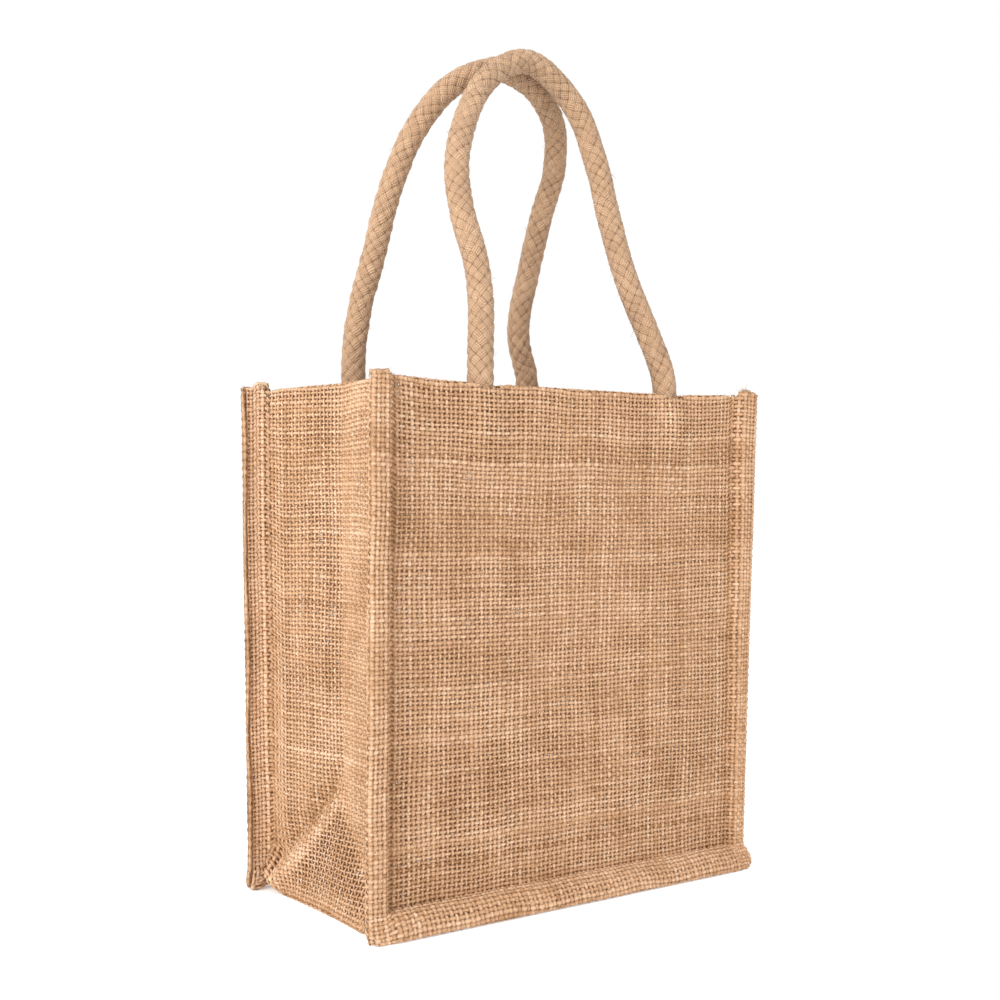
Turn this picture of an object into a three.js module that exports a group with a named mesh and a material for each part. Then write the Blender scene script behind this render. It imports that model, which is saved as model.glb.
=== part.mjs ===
import * as THREE from "three";

// A jute tote bag that stands open on the floor, with two plaited rope handles.
// Millimetres. X runs along the front panel, Y from front to back and Z up, from the middle of the base.

// The body, from seam to seam
const RIM_HEIGHT = 240;
const WIDTH_AT_FOOT = 202;
const WIDTH_AT_RIM = 204;
const DEPTH_AT_FOOT = 101;
const DEPTH_AT_RIM = 111;
const RIM_SHIFT_RIGHT = 1.6;
const RIM_SHIFT_BACK = 2.5;

// The cloth and its cut
const CLOTH = 1.4;
const LAYER_PITCH = 2;
const SEAM_INSET = 2.25;
const SEAM_DROP = 2.9;
const FLAT_WIDTH = 203;
const GUSSET_WIDTH = 108;
const ALLOWANCE = 15;
const HEM_DEPTH = 28;
const HEM_RADIUS = 1.1;
const HEM_INSET = 4;

// The allowances stand outside the bag, and the lower one rolls down to the floor
const FOOT_RISE = 12;
const FOOT_OUT = 10;
const CORNER_OUT = 0.45;
const CORNER_EASE = 3;
const CORNER_SLACK = 1.6;
const FOOT_END = 0.5;
const INNER_END = 0.9;
const FLANK = 6.5;
const ALLOWANCE_TOP = 239.6;

// The gusset's folds
const CENTRE_FOLD = 8.3;
const TRIANGLE_FOOT = 3;
const TRIANGLE_RISE = 54;
const TRIANGLE_LEAST = 1;
const CORNER_SHARE = 0.018;
const BASE_EASE = 11;
const FOLD_START = 2;
const FOLD_BOW = 2;

// The rope
const ROPE_RADIUS = 6.1;
const ROPE_SIDES = 12;
const ROPE_STEPS = 60;
const POCKET_DEPTH = 13.1;
const POCKET_FLAT = 3;
const POCKET_SHOULDER = 8.2;
const POCKET_REACH = 12.5;
const SHOULDER_SHARE = 0.6;

const LEFT = -1;
const RIGHT = 1;
const FRONT = -1;
const BACK = 1;

// The swellings die away over this share of the width and this rise above the foot
const SWELLING_EDGE = 0.1;
const SWELLING_RISE = 20;

const FACE_TOP = RIM_HEIGHT - CLOTH / 2 - HEM_RADIUS;
const FACE_HEIGHT = FACE_TOP - FOOT_RISE;
const FOLD_LENGTH = Math.PI * HEM_RADIUS;

// The reach of a slope measured on a surface, and how sharp a bend is still mitred to the full thickness
const SLOPE_STEP = 1.5;
const MITRE_LIMIT = 0.75;

// How far each side allowance reaches outwards at the foot and at the rim, how much it spreads on the
// floor, how far it stands off its panel, and how high and how far out the raw end of the gusset's layer
// sticks up in it
const SIDE_ALLOWANCES = [
  { face: FRONT, edge: LEFT, foot: 13.5, rim: 13.8, spread: 2, stand: 4.3, tuft: 0.8, tuftAt: 6.5 },
  { face: FRONT, edge: RIGHT, foot: 8.8, rim: 14.8, spread: 3.5, stand: 4.3, tuft: 4.8, tuftAt: 7 },
  { face: BACK, edge: LEFT, foot: 12.2, rim: 12.6, spread: -0.6, stand: 1.8, tuft: 3, tuftAt: 3.5 },
  { face: BACK, edge: RIGHT, foot: 12.5, rim: 13.5, spread: 1, stand: 3, tuft: 1, tuftAt: 6.5 },
];

// Each panel: how much its rim dips, where the rope ends sit, and the soft swellings in its cloth
const FRONT_PANEL = {
  face: FRONT,
  rimDip: 1.8,
  ropeEnds: [-49.3, 64.4],
  swellings: [
    { x: -49.3, z: 222, out: 1.5, wide: 8, tall: 13 },
    { x: 64.4, z: 222, out: 1.8, wide: 8, tall: 14 },
    { x: 5, z: 125, out: -2.2, wide: 55, tall: 60 },
    { x: -60, z: 70, out: 1.2, wide: 28, tall: 45 },
    { x: 68, z: 95, out: 1, wide: 24, tall: 50 },
  ],
};
const BACK_PANEL = {
  face: BACK,
  rimDip: 1.2,
  ropeEnds: [-55.8, 54.2],
  swellings: [
    { x: -55.8, z: 222, out: 1.5, wide: 8, tall: 13 },
    { x: 54.2, z: 222, out: 1.6, wide: 8, tall: 13 },
    { x: -10, z: 130, out: -1.8, wide: 50, tall: 55 },
    { x: 55, z: 75, out: 1.2, wide: 30, tall: 40 },
  ],
};

// How far the fold on the floor lies outside the side seams, at the front and at the back; it bows in
// between
const FLOOR_FOLDS = [
  { edge: LEFT, outFront: 7.8, outBack: 1.5 },
  { edge: RIGHT, outFront: 5, outBack: 4 },
];

// Rows across the bottom: a share of the way between the side folds, and where the allowances are met,
// from the left seam and by how much of the distance out into the corner
const BASE_ROWS = [
  { share: 0.01, across: 0, outside: -0.5 },
  { share: 0.03, across: 0, outside: 0 },
  { share: 0.1, across: 20, outside: 0 },
  { share: 0.37, across: 75, outside: 0 },
  { share: 0.63, across: 128, outside: 0 },
  { share: 0.9, across: 183, outside: 0 },
  { share: 0.97, across: FLAT_WIDTH, outside: 0 },
  { share: 0.99, across: FLAT_WIDTH, outside: 0.5 },
];

// Where the rope handles pass, from one sewn end over the top to the other
const FRONT_ROUTE = [
  { x: -49.6, y: -45.4, z: 213 },
  { x: -49.5, y: -45.5, z: 228 },
  { x: -48.8, y: -45.1, z: 240 },
  { x: -46.3, y: -41.8, z: 253.1 },
  { x: -41.9, y: -36.2, z: 274 },
  { x: -39.6, y: -29.8, z: 294.6 },
  { x: -40.5, y: -20.1, z: 319.9 },
  { x: -37.9, y: -11.8, z: 342.7 },
  { x: -27.8, y: -5.1, z: 368.7 },
  { x: -11.7, y: -0.9, z: 391.5 },
  { x: 8.3, y: 1, z: 403.9 },
  { x: 18.6, y: 1.1, z: 404.8 },
  { x: 34.5, y: -0.1, z: 396.1 },
  { x: 46.5, y: -2.4, z: 381.8 },
  { x: 52.8, y: -8.4, z: 356.1 },
  { x: 53.3, y: -17.3, z: 327.4 },
  { x: 54.1, y: -29.1, z: 296.3 },
  { x: 61, y: -37.4, z: 269 },
  { x: 64.6, y: -43.4, z: 250 },
  { x: 64.8, y: -45.3, z: 238 },
  { x: 64.6, y: -45.5, z: 226 },
  { x: 64.4, y: -45.4, z: 213 },
];
const BACK_ROUTE = [
  { x: -55.8, y: 50.3, z: 213 },
  { x: -56, y: 50.5, z: 231 },
  { x: -56.6, y: 49.8, z: 247 },
  { x: -57, y: 47.8, z: 264.1 },
  { x: -54.4, y: 45.4, z: 285.5 },
  { x: -50.3, y: 41.5, z: 306 },
  { x: -45, y: 34.3, z: 339.1 },
  { x: -35.8, y: 26, z: 368.3 },
  { x: -20.2, y: 18.3, z: 390.4 },
  { x: 0.9, y: 14.2, z: 401.6 },
  { x: 12.1, y: 14, z: 402.7 },
  { x: 32.9, y: 16.1, z: 396.3 },
  { x: 48.8, y: 21.3, z: 382.3 },
  { x: 54.7, y: 28.3, z: 360.8 },
  { x: 51.1, y: 34.7, z: 337 },
  { x: 47.6, y: 41, z: 308.2 },
  { x: 44.9, y: 45.7, z: 283.9 },
  { x: 46, y: 47.2, z: 270.2 },
  { x: 51.7, y: 48.9, z: 256.2 },
  { x: 54.2, y: 50.3, z: 243 },
  { x: 54.4, y: 50.5, z: 229 },
  { x: 54.2, y: 50.3, z: 213 },
];

const JUTE_COLOUR = 0xc9a27c;
const ROPE_COLOUR = 0xb8966e;
const CLOTH_ROUGHNESS = 0.92;
const ROPE_ROUGHNESS = 0.9;

const clamp = THREE.MathUtils.clamp;
const lerp = THREE.MathUtils.lerp;

function ease(value) {
  return THREE.MathUtils.smoothstep(value, 0, 1);
}

// The side seams' place along X, and the panels' place along Y, at a height above the floor
function seamX(edge, height) {
  const share = height / RIM_HEIGHT;
  return RIM_SHIFT_RIGHT * share + (edge * lerp(WIDTH_AT_FOOT, WIDTH_AT_RIM, share)) / 2;
}

function seamY(face, height) {
  const share = height / RIM_HEIGHT;
  return RIM_SHIFT_BACK * share + (face * lerp(DEPTH_AT_FOOT, DEPTH_AT_RIM, share)) / 2;
}

// How far the hem stands off its panel over a rope end: flat over the rope, with a shoulder to each side
function pocket(panel, x) {
  let depth = 0;
  for (const ropeEnd of panel.ropeEnds) {
    const off = Math.abs(x - ropeEnd);
    const fall = clamp((off - POCKET_FLAT) / (POCKET_SHOULDER - POCKET_FLAT), 0, 1);
    const crown = lerp(1, SHOULDER_SHARE, fall);
    const flank = clamp((POCKET_REACH - off) / (POCKET_REACH - POCKET_SHOULDER), 0, 1);
    depth = Math.max(depth, POCKET_DEPTH * crown * flank);
  }
  return depth;
}

// How far the cloth swells out of the panel's plane, dying away towards the seams
function swelling(panel, u, x, z) {
  let out = 0;
  for (const soft of panel.swellings) {
    out += soft.out * Math.exp(-(((x - soft.x) / soft.wide) ** 2) - ((z - soft.z) / soft.tall) ** 2);
  }
  const fromSides = ease(u / SWELLING_EDGE) * ease((1 - u) / SWELLING_EDGE);
  return out * fromSides * ease((z - FOOT_RISE) / SWELLING_RISE);
}

// A point of a panel's middle surface, from its place on the flat cut: across from the left seam and up
// from the lower seam. The allowances lie outside those seams, and the hem turns in past the rim.
function onPanel(panel, across, up) {
  const edge = across < FLAT_WIDTH / 2 ? LEFT : RIGHT;
  const u = clamp(across / FLAT_WIDTH, 0, 1);
  const beyond = Math.max(-across, across - FLAT_WIDTH, 0) / ALLOWANCE;
  const side = SIDE_ALLOWANCES.find((row) => row.face === panel.face && row.edge === edge);

  const dip = panel.rimDip * (1 - (2 * u - 1) ** 4);
  const top = beyond > 0 ? ALLOWANCE_TOP : FACE_TOP - dip;
  const climb = beyond > 0 ? Math.max(up, 0) / FACE_HEIGHT : clamp(up / FACE_HEIGHT, 0, 1);
  const drop = beyond > 0 ? 0 : Math.max(up - FACE_HEIGHT - FOLD_LENGTH, 0);
  const turn = beyond > 0 ? 0 : clamp((up - FACE_HEIGHT) / FOLD_LENGTH, 0, 1) * Math.PI;
  const roll = (clamp(-up / ALLOWANCE, 0, 1) * Math.PI) / 2;

  const height = lerp(FOOT_RISE, top, climb) - drop;
  const share = height / RIM_HEIGHT;
  const reach = lerp(side.foot, side.rim, share) + side.spread * Math.sin(roll);
  const x = lerp(seamX(LEFT, height), seamX(RIGHT, height), u) + edge * reach * beyond;

  // The foot leaves its seam level and curves down, while a side allowance runs straight down past it
  const flank = ease((beyond * ALLOWANCE) / FLANK);
  const straight = (2 * roll) / Math.PI;
  const foot = FOOT_OUT * lerp(Math.sin(roll), CORNER_OUT * straight, flank);
  const sink = (FOOT_RISE - FOOT_END) * lerp(1 - Math.cos(roll), straight, flank);

  const turned = (1 - Math.cos(turn)) / 2;
  const hem = (2 * HEM_RADIUS + pocket(panel, x)) * turned;
  const out = side.stand * flank + foot + swelling(panel, u, x, height) * (1 - turned) - hem;
  const y = seamY(panel.face, height) + panel.face * out;
  return new THREE.Vector3(x, y, height + HEM_RADIUS * Math.sin(turn) - sink);
}

// The same place on the gusset's layer, which lies against the inside of the panel's allowance
function behindPanel(panel, across, up) {
  const edge = across < FLAT_WIDTH / 2 ? LEFT : RIGHT;
  const outer = onPanel(panel, across + edge * SLOPE_STEP, up);
  const outwards = outer.sub(onPanel(panel, across - edge * SLOPE_STEP, up));
  const lower = onPanel(panel, across, up - SLOPE_STEP);
  const down = lower.sub(onPanel(panel, across, up + SLOPE_STEP));
  const normal = outwards.cross(down).normalize();

  const beyond = Math.max(-across, across - FLAT_WIDTH);
  const corner = ease(1 + beyond / CORNER_EASE) * ease((CORNER_EASE - up) / (2 * CORNER_EASE));
  const pitch = LAYER_PITCH + CORNER_SLACK * corner;
  const point = onPanel(panel, across, up).addScaledVector(normal, -edge * panel.face * pitch);
  point.z = Math.max(point.z, INNER_END);
  return point;
}

// How far the gusset's seam lies behind the panel's middle surface, a little more at the bulky bottom
// corners
function seamInset(z) {
  return SEAM_INSET + CORNER_SLACK * ease((2 * FOOT_RISE - z) / FOOT_RISE);
}

// The height of the bag's bottom above the floor: flat in the middle, raised to the seams at front and
// back
function baseHeight(q) {
  const fromSeam = Math.min(q, 1 - q) * GUSSET_WIDTH;
  return CLOTH / 2 + (FOOT_RISE - SEAM_DROP - CLOTH / 2) * (1 - ease(fromSeam / BASE_EASE));
}

// How far the fold on the floor lies outside the side seam
function floorFold(edge, q) {
  const fold = FLOOR_FOLDS.find((row) => row.edge === edge);
  const fromSeam = Math.min(q, 1 - q) * GUSSET_WIDTH;
  const bowed = lerp(fold.outFront, fold.outBack, q) - FOLD_BOW * 4 * q * (1 - q);
  return bowed * ease((fromSeam - FOLD_START) / (BASE_EASE - FOLD_START));
}

// How far a side of the gusset is folded inwards. The crease runs down the middle, and from its lower end
// two diagonals run to the bottom corners. The triangle under them leans out to the fold on the floor.
function foldedIn(edge, q, z) {
  const towardsMiddle = 1 - Math.abs(2 * q - 1);
  const depth = CENTRE_FOLD * towardsMiddle;
  const floor = baseHeight(q);
  const diagonal = Math.max(TRIANGLE_FOOT + TRIANGLE_RISE * towardsMiddle, floor + TRIANGLE_LEAST);
  return lerp(-floorFold(edge, q), depth, clamp((z - floor) / (diagonal - floor), 0, 1));
}

// A point of the gusset's side between the seams. The share is 1 at the rim and 0 on the floor.
function onGussetSide(edge, q, share, turn, drop) {
  const floor = baseHeight(q);
  const z = lerp(floor, FACE_TOP, share) - drop;
  const y = lerp(seamY(FRONT, z) + seamInset(z), seamY(BACK, z) - seamInset(z), q);
  const inwards = foldedIn(edge, q, z) + HEM_RADIUS * (1 - Math.cos(turn));
  return new THREE.Vector3(seamX(edge, z) - edge * inwards, y, z + HEM_RADIUS * Math.sin(turn));
}

// A point of the gusset's bottom between the seams, from the left fold to the right one
function onGussetBase(q, share) {
  const left = seamX(LEFT, 0) - floorFold(LEFT, q);
  const right = seamX(RIGHT, 0) + floorFold(RIGHT, q);
  const y = lerp(seamY(FRONT, 0) + seamInset(0), seamY(BACK, 0) - seamInset(0), q);
  return new THREE.Vector3(lerp(left, right, share), y, baseHeight(q));
}

// A point of the gusset's middle surface: a column across the strip and a row along it, from the left hem
// down, under the bag and up to the right hem
function onGusset(column, row) {
  const q = clamp(column / GUSSET_WIDTH, 0, 1);
  const beyond = Math.max(-column, column - GUSSET_WIDTH, 0);
  const panel = column < GUSSET_WIDTH / 2 ? FRONT_PANEL : BACK_PANEL;
  if (row.part === "base") {
    if (beyond === 0) return onGussetBase(q, row.share);
    return behindPanel(panel, row.across + beyond * row.outside, -beyond);
  }
  if (beyond === 0) return onGussetSide(row.edge, q, row.share, row.turn, row.drop);
  const side = SIDE_ALLOWANCES.find((each) => each.face === panel.face && each.edge === row.edge);
  const tuft = side.tuft * ease(1 - Math.abs(beyond - side.tuftAt) / FLANK);
  const across = row.edge === LEFT ? -beyond : FLAT_WIDTH + beyond;
  const below = Math.min(row.share / CORNER_SHARE, 1);
  const above = Math.max((row.share - CORNER_SHARE) / (1 - CORNER_SHARE), 0);
  return behindPanel(panel, across, lerp(-beyond, 0, below) + (FACE_HEIGHT + tuft) * above);
}

// A sheet of cloth as one closed solid: the grid of points of its middle surface, thickened to both
// sides. Where a cell isn't cloth the sheet has an edge. The leaning function says which way a cell is
// split.
function clothSolid(columns, rows, pointAt, isCloth, leansBack) {
  const middle = rows.map((row) => columns.map((column) => pointAt(column, row)));
  const width = columns.length;
  const index = (i, j) => j * width + i;
  const faces = [];
  for (let j = 0; j + 1 < rows.length; j += 1) {
    for (let i = 0; i + 1 < width; i += 1) {
      if (!isCloth(i, j)) continue;
      const [a, b, c, d] = [index(i, j), index(i + 1, j), index(i + 1, j + 1), index(i, j + 1)];
      if (leansBack(i, j)) faces.push([a, b, d], [b, c, d]);
      else faces.push([a, b, c], [a, c, d]);
    }
  }

  const flat = middle.flat();
  const normals = flat.map(() => new THREE.Vector3());
  const faceNormals = faces.map(([a, b, c]) => {
    const normal = flat[b].clone().sub(flat[a]).cross(flat[c].clone().sub(flat[a])).normalize();
    for (const corner of [a, b, c]) normals[corner].add(normal);
    return normal;
  });
  normals.forEach((normal) => normal.normalize());
  const flattest = flat.map(() => 1);
  faces.forEach((corners, k) => {
    for (const corner of corners) {
      flattest[corner] = Math.min(flattest[corner], normals[corner].dot(faceNormals[k]));
    }
  });

  const offset = flat.length;
  const points = [];
  for (const way of [1, -1]) {
    flat.forEach((point, k) => {
      const reach = ((way * CLOTH) / 2) / Math.max(flattest[k], MITRE_LIMIT);
      const moved = point.clone().addScaledVector(normals[k], reach);
      moved.z = Math.max(moved.z, 0);
      points.push(moved);
    });
  }

  const triangles = [];
  const sheetEdges = new Set();
  for (const [a, b, c] of faces) {
    triangles.push([a, b, c], [a + offset, c + offset, b + offset]);
    for (const [from, to] of [[a, b], [b, c], [c, a]]) sheetEdges.add(`${from} ${to}`);
  }
  for (const edge of sheetEdges) {
    const [from, to] = edge.split(" ").map(Number);
    if (sheetEdges.has(`${to} ${from}`)) continue;
    triangles.push([from, from + offset, to], [to, from + offset, to + offset]);
  }

  const used = new Map();
  const positions = [];
  const indices = [];
  for (const corner of triangles.flat()) {
    if (!used.has(corner)) {
      used.set(corner, used.size);
      positions.push(...points[corner].toArray());
    }
    indices.push(used.get(corner));
  }
  const geometry = new THREE.BufferGeometry();
  geometry.setAttribute("position", new THREE.Float32BufferAttribute(positions, 3));
  geometry.setIndex(indices);
  return geometry;
}

// The places where the sheets' grids have their lines: across an allowance from the seam out to the cut
// edge, up a panel from its lower seam, between its rope ends, across the gusset from its seam, and up
// the gusset's sides
const ALLOWANCE_STEPS = [2, 4, FLANK, 11, ALLOWANCE];
const PANEL_ROWS = [0, 26, 66, 112, 156, 194, 204, 215, FACE_HEIGHT];
const BETWEEN_ROPES = [0.25, 0.5, 0.75];
const GUSSET_COLUMNS = [0, 4, 7.5, BASE_EASE, 23, 38];
const GUSSET_HEIGHTS = [FACE_TOP, 228, 190, 145, 100];

function withAllowances(inner, width) {
  const before = ALLOWANCE_STEPS.map((step) => -step).reverse();
  const after = ALLOWANCE_STEPS.map((step) => width + step);
  return [...before, ...inner, ...after];
}

function panelSolid(panel) {
  const acrossAtRim = (x) => ((x - seamX(LEFT, RIM_HEIGHT)) / WIDTH_AT_RIM) * FLAT_WIDTH;
  const half = [POCKET_FLAT, POCKET_SHOULDER, POCKET_REACH];
  const offsets = [...half.map((offset) => -offset).reverse(), ...half];
  const [first, second] = panel.ropeEnds.map((x) => offsets.map((offset) => acrossAtRim(x + offset)));
  const between = BETWEEN_ROPES.map((share) => lerp(first.at(-1), second[0], share));
  const inner = [
    0, HEM_INSET, first[0] / 2, ...first, ...between, ...second,
    (second.at(-1) + FLAT_WIDTH) / 2, FLAT_WIDTH - HEM_INSET, FLAT_WIDTH,
  ];
  const columns = withAllowances(inner, FLAT_WIDTH);
  const foot = ALLOWANCE_STEPS.map((step) => -step).reverse();
  const hem = [0, HEM_DEPTH / 2, HEM_DEPTH].map((drop) => FACE_HEIGHT + FOLD_LENGTH + drop);
  const rows = [...foot, ...PANEL_ROWS, FACE_HEIGHT + FOLD_LENGTH / 2, ...hem];

  const isCloth = (i, j) => {
    if (rows[j] < FACE_HEIGHT) return true;
    const middle = (columns[i] + columns[i + 1]) / 2;
    const hemmed = middle > HEM_INSET && middle < FLAT_WIDTH - HEM_INSET;
    const overRope = panel.ropeEnds.some((x) => Math.abs(acrossAtRim(x) - middle) < POCKET_SHOULDER);
    const isFold = rows[j] < hem[0];
    return hemmed && !(isFold && overRope);
  };
  return clothSolid(columns, rows, (across, up) => onPanel(panel, across, up), isCloth, () => false);
}

function gussetSolid() {
  const mirrored = GUSSET_COLUMNS.map((place) => GUSSET_WIDTH - place).reverse();
  const inner = [...GUSSET_COLUMNS, GUSSET_WIDTH / 2, ...mirrored];
  const columns = withAllowances(inner, GUSSET_WIDTH);

  const floor = CLOTH / 2;
  const diagonalHeights = GUSSET_COLUMNS.slice(2).map((place) => {
    return TRIANGLE_FOOT + (TRIANGLE_RISE * 2 * place) / GUSSET_WIDTH;
  });
  const apex = TRIANGLE_FOOT + TRIANGLE_RISE;
  const heights = [...GUSSET_HEIGHTS, apex, ...diagonalHeights.reverse()];
  const shares = heights.map((z) => (z - floor) / (FACE_TOP - floor));
  shares.push(CORNER_SHARE, CORNER_SHARE / 2, 0);
  const side = (edge) => {
    const face = shares.map((share) => ({ edge, share, turn: 0, drop: 0 }));
    const fold = { edge, share: 1, turn: Math.PI / 2, drop: 0 };
    const hem = [HEM_DEPTH, HEM_DEPTH / 2, 0].map((drop) => ({ edge, share: 1, turn: Math.PI, drop }));
    return [...hem, fold, ...face].map((row) => ({ ...row, part: "side" }));
  };
  const base = BASE_ROWS.map((row) => ({ ...row, part: "base" }));
  const rows = [...side(LEFT), ...base, ...side(RIGHT).reverse()];

  const isCloth = (i, j) => {
    const turned = Math.max(rows[j].turn ?? 0, rows[j + 1].turn ?? 0) > 0;
    const middle = (columns[i] + columns[i + 1]) / 2;
    return !turned || (middle > GUSSET_COLUMNS[1] && middle < GUSSET_WIDTH - GUSSET_COLUMNS[1]);
  };
  const leansBack = (i, j) => {
    const nearFront = columns[i] < GUSSET_WIDTH / 2;
    return nearFront !== (j > rows.length / 2);
  };
  return clothSolid(columns, rows, onGusset, isCloth, leansBack);
}

// A rope: a round section carried along its route
function ropeSolid(route) {
  const points = route.map(({ x, y, z }) => new THREE.Vector3(x, y, z));
  const path = new THREE.CatmullRomCurve3(points, false, "centripetal");
  const section = new THREE.Shape();
  section.absarc(0, 0, ROPE_RADIUS, 0, 2 * Math.PI, false);
  return new THREE.ExtrudeGeometry(section, {
    steps: ROPE_STEPS,
    curveSegments: ROPE_SIDES / 2,
    extrudePath: path,
  });
}

function piece(name, geometry, color, roughness) {
  const material = new THREE.MeshStandardMaterial({ color, roughness, metalness: 0 });
  const mesh = new THREE.Mesh(geometry, material);
  mesh.name = name;
  return mesh;
}

const bag = new THREE.Group();
bag.name = "jute_tote_bag";
bag.add(
  piece("front_panel", panelSolid(FRONT_PANEL), JUTE_COLOUR, CLOTH_ROUGHNESS),
  piece("back_panel", panelSolid(BACK_PANEL), JUTE_COLOUR, CLOTH_ROUGHNESS),
  piece("gusset", gussetSolid(), JUTE_COLOUR, CLOTH_ROUGHNESS),
  piece("rope_handle_front", ropeSolid(FRONT_ROUTE), ROPE_COLOUR, ROPE_ROUGHNESS),
  piece("rope_handle_back", ropeSolid(BACK_ROUTE), ROPE_COLOUR, ROPE_ROUGHNESS),
);

export default bag;
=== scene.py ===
"""A jute tote bag with two plaited rope handles: its woven cloth, its ropes, loose fibres and the studio."""
from functools import partial

import bpy
import numpy as np
from bpy.props import FloatProperty, FloatVectorProperty, IntProperty, PointerProperty
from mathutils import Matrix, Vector


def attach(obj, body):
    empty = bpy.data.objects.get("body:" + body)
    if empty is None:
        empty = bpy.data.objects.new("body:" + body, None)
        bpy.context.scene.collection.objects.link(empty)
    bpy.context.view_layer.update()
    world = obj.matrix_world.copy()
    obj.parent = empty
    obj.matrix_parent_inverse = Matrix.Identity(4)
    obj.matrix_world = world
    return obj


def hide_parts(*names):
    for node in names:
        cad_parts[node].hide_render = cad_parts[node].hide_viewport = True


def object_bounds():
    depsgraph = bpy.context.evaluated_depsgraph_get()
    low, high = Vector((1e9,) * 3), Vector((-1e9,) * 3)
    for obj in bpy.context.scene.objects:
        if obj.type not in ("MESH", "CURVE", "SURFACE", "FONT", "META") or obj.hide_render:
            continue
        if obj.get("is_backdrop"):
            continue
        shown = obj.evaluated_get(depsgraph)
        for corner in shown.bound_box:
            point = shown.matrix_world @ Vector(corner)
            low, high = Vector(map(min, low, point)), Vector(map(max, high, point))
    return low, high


bl_info = {
    "name": "Jute tote bag",
    "version": (1, 0, 0),
    "blender": (4, 5, 0),
    "location": "3D View > Sidebar > Tote bag",
    "description": "Weaves a jute tote bag on its solids and plaits its rope handles",
    "category": "Add Mesh",
}

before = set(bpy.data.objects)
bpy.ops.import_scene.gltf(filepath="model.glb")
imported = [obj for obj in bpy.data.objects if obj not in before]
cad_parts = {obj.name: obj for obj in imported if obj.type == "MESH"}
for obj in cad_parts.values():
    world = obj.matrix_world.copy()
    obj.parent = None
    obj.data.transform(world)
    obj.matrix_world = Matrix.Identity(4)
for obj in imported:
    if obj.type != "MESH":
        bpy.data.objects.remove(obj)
SOLIDS_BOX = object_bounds()

# Shapes are worked out in millimetres, like the solids, and put into the meshes in metres
MM, PER_METRE = 0.001, 1000
LEFT, RIGHT = -1, 1
FRONT, BACK = -1, 1

# The body, from seam to seam
RIM_HEIGHT = 240
WIDTH_AT_FOOT, WIDTH_AT_RIM = 202, 204
DEPTH_AT_FOOT, DEPTH_AT_RIM = 101, 111
RIM_SHIFT_RIGHT, RIM_SHIFT_BACK = 1.6, 2.5

# The cloth and its cut. The layers of a seam lie close, and the panel's cloth is turned round the gusset's
CLOTH = 1.4
LAYER_PITCH = 1.4
WRAP_RADIUS, WRAP_RETURN, WRAP_CORNER = 1.1, 0.3, 6
GUSSET_ALLOWANCE = 14.2
SEAM_INSET, SEAM_DROP = 1.6, 2.9
FLAT_WIDTH, GUSSET_WIDTH = 203, 108
ALLOWANCE = 15
HEM_DEPTH, HEM_RADIUS, HEM_INSET = 28, 1.1, 4

# The allowances stand outside the bag, and the lower one rolls down to the floor
FOOT_RISE, FOOT_OUT, FOOT_END = 12, 10, 0.9
CORNER_OUT, CORNER_EASE, CORNER_SLACK = 0.45, 3, 1.6
INNER_END = 1.1
FLANK = 6.5
ALLOWANCE_TOP = 239.6
TUFT_HALF, TUFT_STEEP = 5, 2.2

# The gusset's folds
CENTRE_FOLD = 8.3
TRIANGLE_FOOT, TRIANGLE_RISE, TRIANGLE_LEAST = 3, 48, 1
CORNER_SHARE = 0.018
BASE_EASE = 11
FOLD_BOW = 2

# The pockets that the hem makes over the rope ends
POCKET_DEPTH, POCKET_FLAT, POCKET_SHOULDER, POCKET_REACH = 13.1, 3, 8.2, 12.5
SHOULDER_SHARE = 0.6

SWELLING_EDGE, SWELLING_RISE = 0.1, 20
FACE_TOP = RIM_HEIGHT - CLOTH / 2 - HEM_RADIUS
FACE_HEIGHT = FACE_TOP - FOOT_RISE
FOLD_LENGTH = np.pi * HEM_RADIUS
SLOPE_STEP = 1.5

# The side allowances by face and side: reach at the foot and at the rim, spread on the floor, and stand-off
# from the panel
FINS = {
    FRONT: {LEFT: (13.5, 13.8, 2, 4.3), RIGHT: (8.8, 14.8, 3.5, 4.3)},
    BACK: {LEFT: (12.2, 12.6, -0.6, 1.8), RIGHT: (12.5, 13.5, 1, 3)},
}
# The gusset's raw ends at the tops of the allowances: how high they stand, and how far out
TUFTS = {
    FRONT: {LEFT: (0.8, 6.5), RIGHT: (3.6, 8)},
    BACK: {LEFT: (3, 3.5), RIGHT: (1, 6.5)},
}

# Each panel: its rim's dip, the places of its rope ends, and its swellings, each with its place, its height,
# how far out it goes, and its reach across and upwards
FRONT_PANEL = {
    "face": FRONT,
    "dip": 1.8,
    "rope_ends": (-49.3, 64.4),
    "swellings": (
        (-49.3, 222, 1.5, 8, 13), (64.4, 222, 1.8, 8, 14),
        (5, 125, -2.2, 55, 60), (-60, 70, 1.2, 28, 45), (68, 95, 1, 24, 50),
    ),
}
BACK_PANEL = {
    "face": BACK,
    "dip": 1.2,
    "rope_ends": (-55.8, 54.2),
    "swellings": (
        (-55.8, 222, 1.5, 8, 13), (54.2, 222, 1.6, 8, 13),
        (-10, 130, -1.8, 50, 55), (55, 75, 1.2, 30, 40),
    ),
}

# How far the fold on the floor lies outside the side seams, at the front and at the back, and how far its
# corners are drawn out along the allowances, up to a height. There the cloth also leaves the back panel
FLOOR_FOLDS = {LEFT: (7.8, 1.5), RIGHT: (5, 4)}
CORNER_DRAW = {LEFT: (1, 6.5), RIGHT: (3, 3)}
DRAW_FOOT, DRAW_OFF, DRAW_FULL = 10, 0.7, 4
# The triangle's edges sag, the back one stands out as a soft ridge that starts near the middle, and above
# them the cloth drops inwards over a short height
TRIANGLE_SAG, RIDGE, RIDGE_HALF, SHELF = 5, 1.7, 7, 14
RIDGE_START, RIDGE_EASE, RIDGE_ENDS, CORNER_FADE = 0.42, 0.16, 6, 1.2

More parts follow.
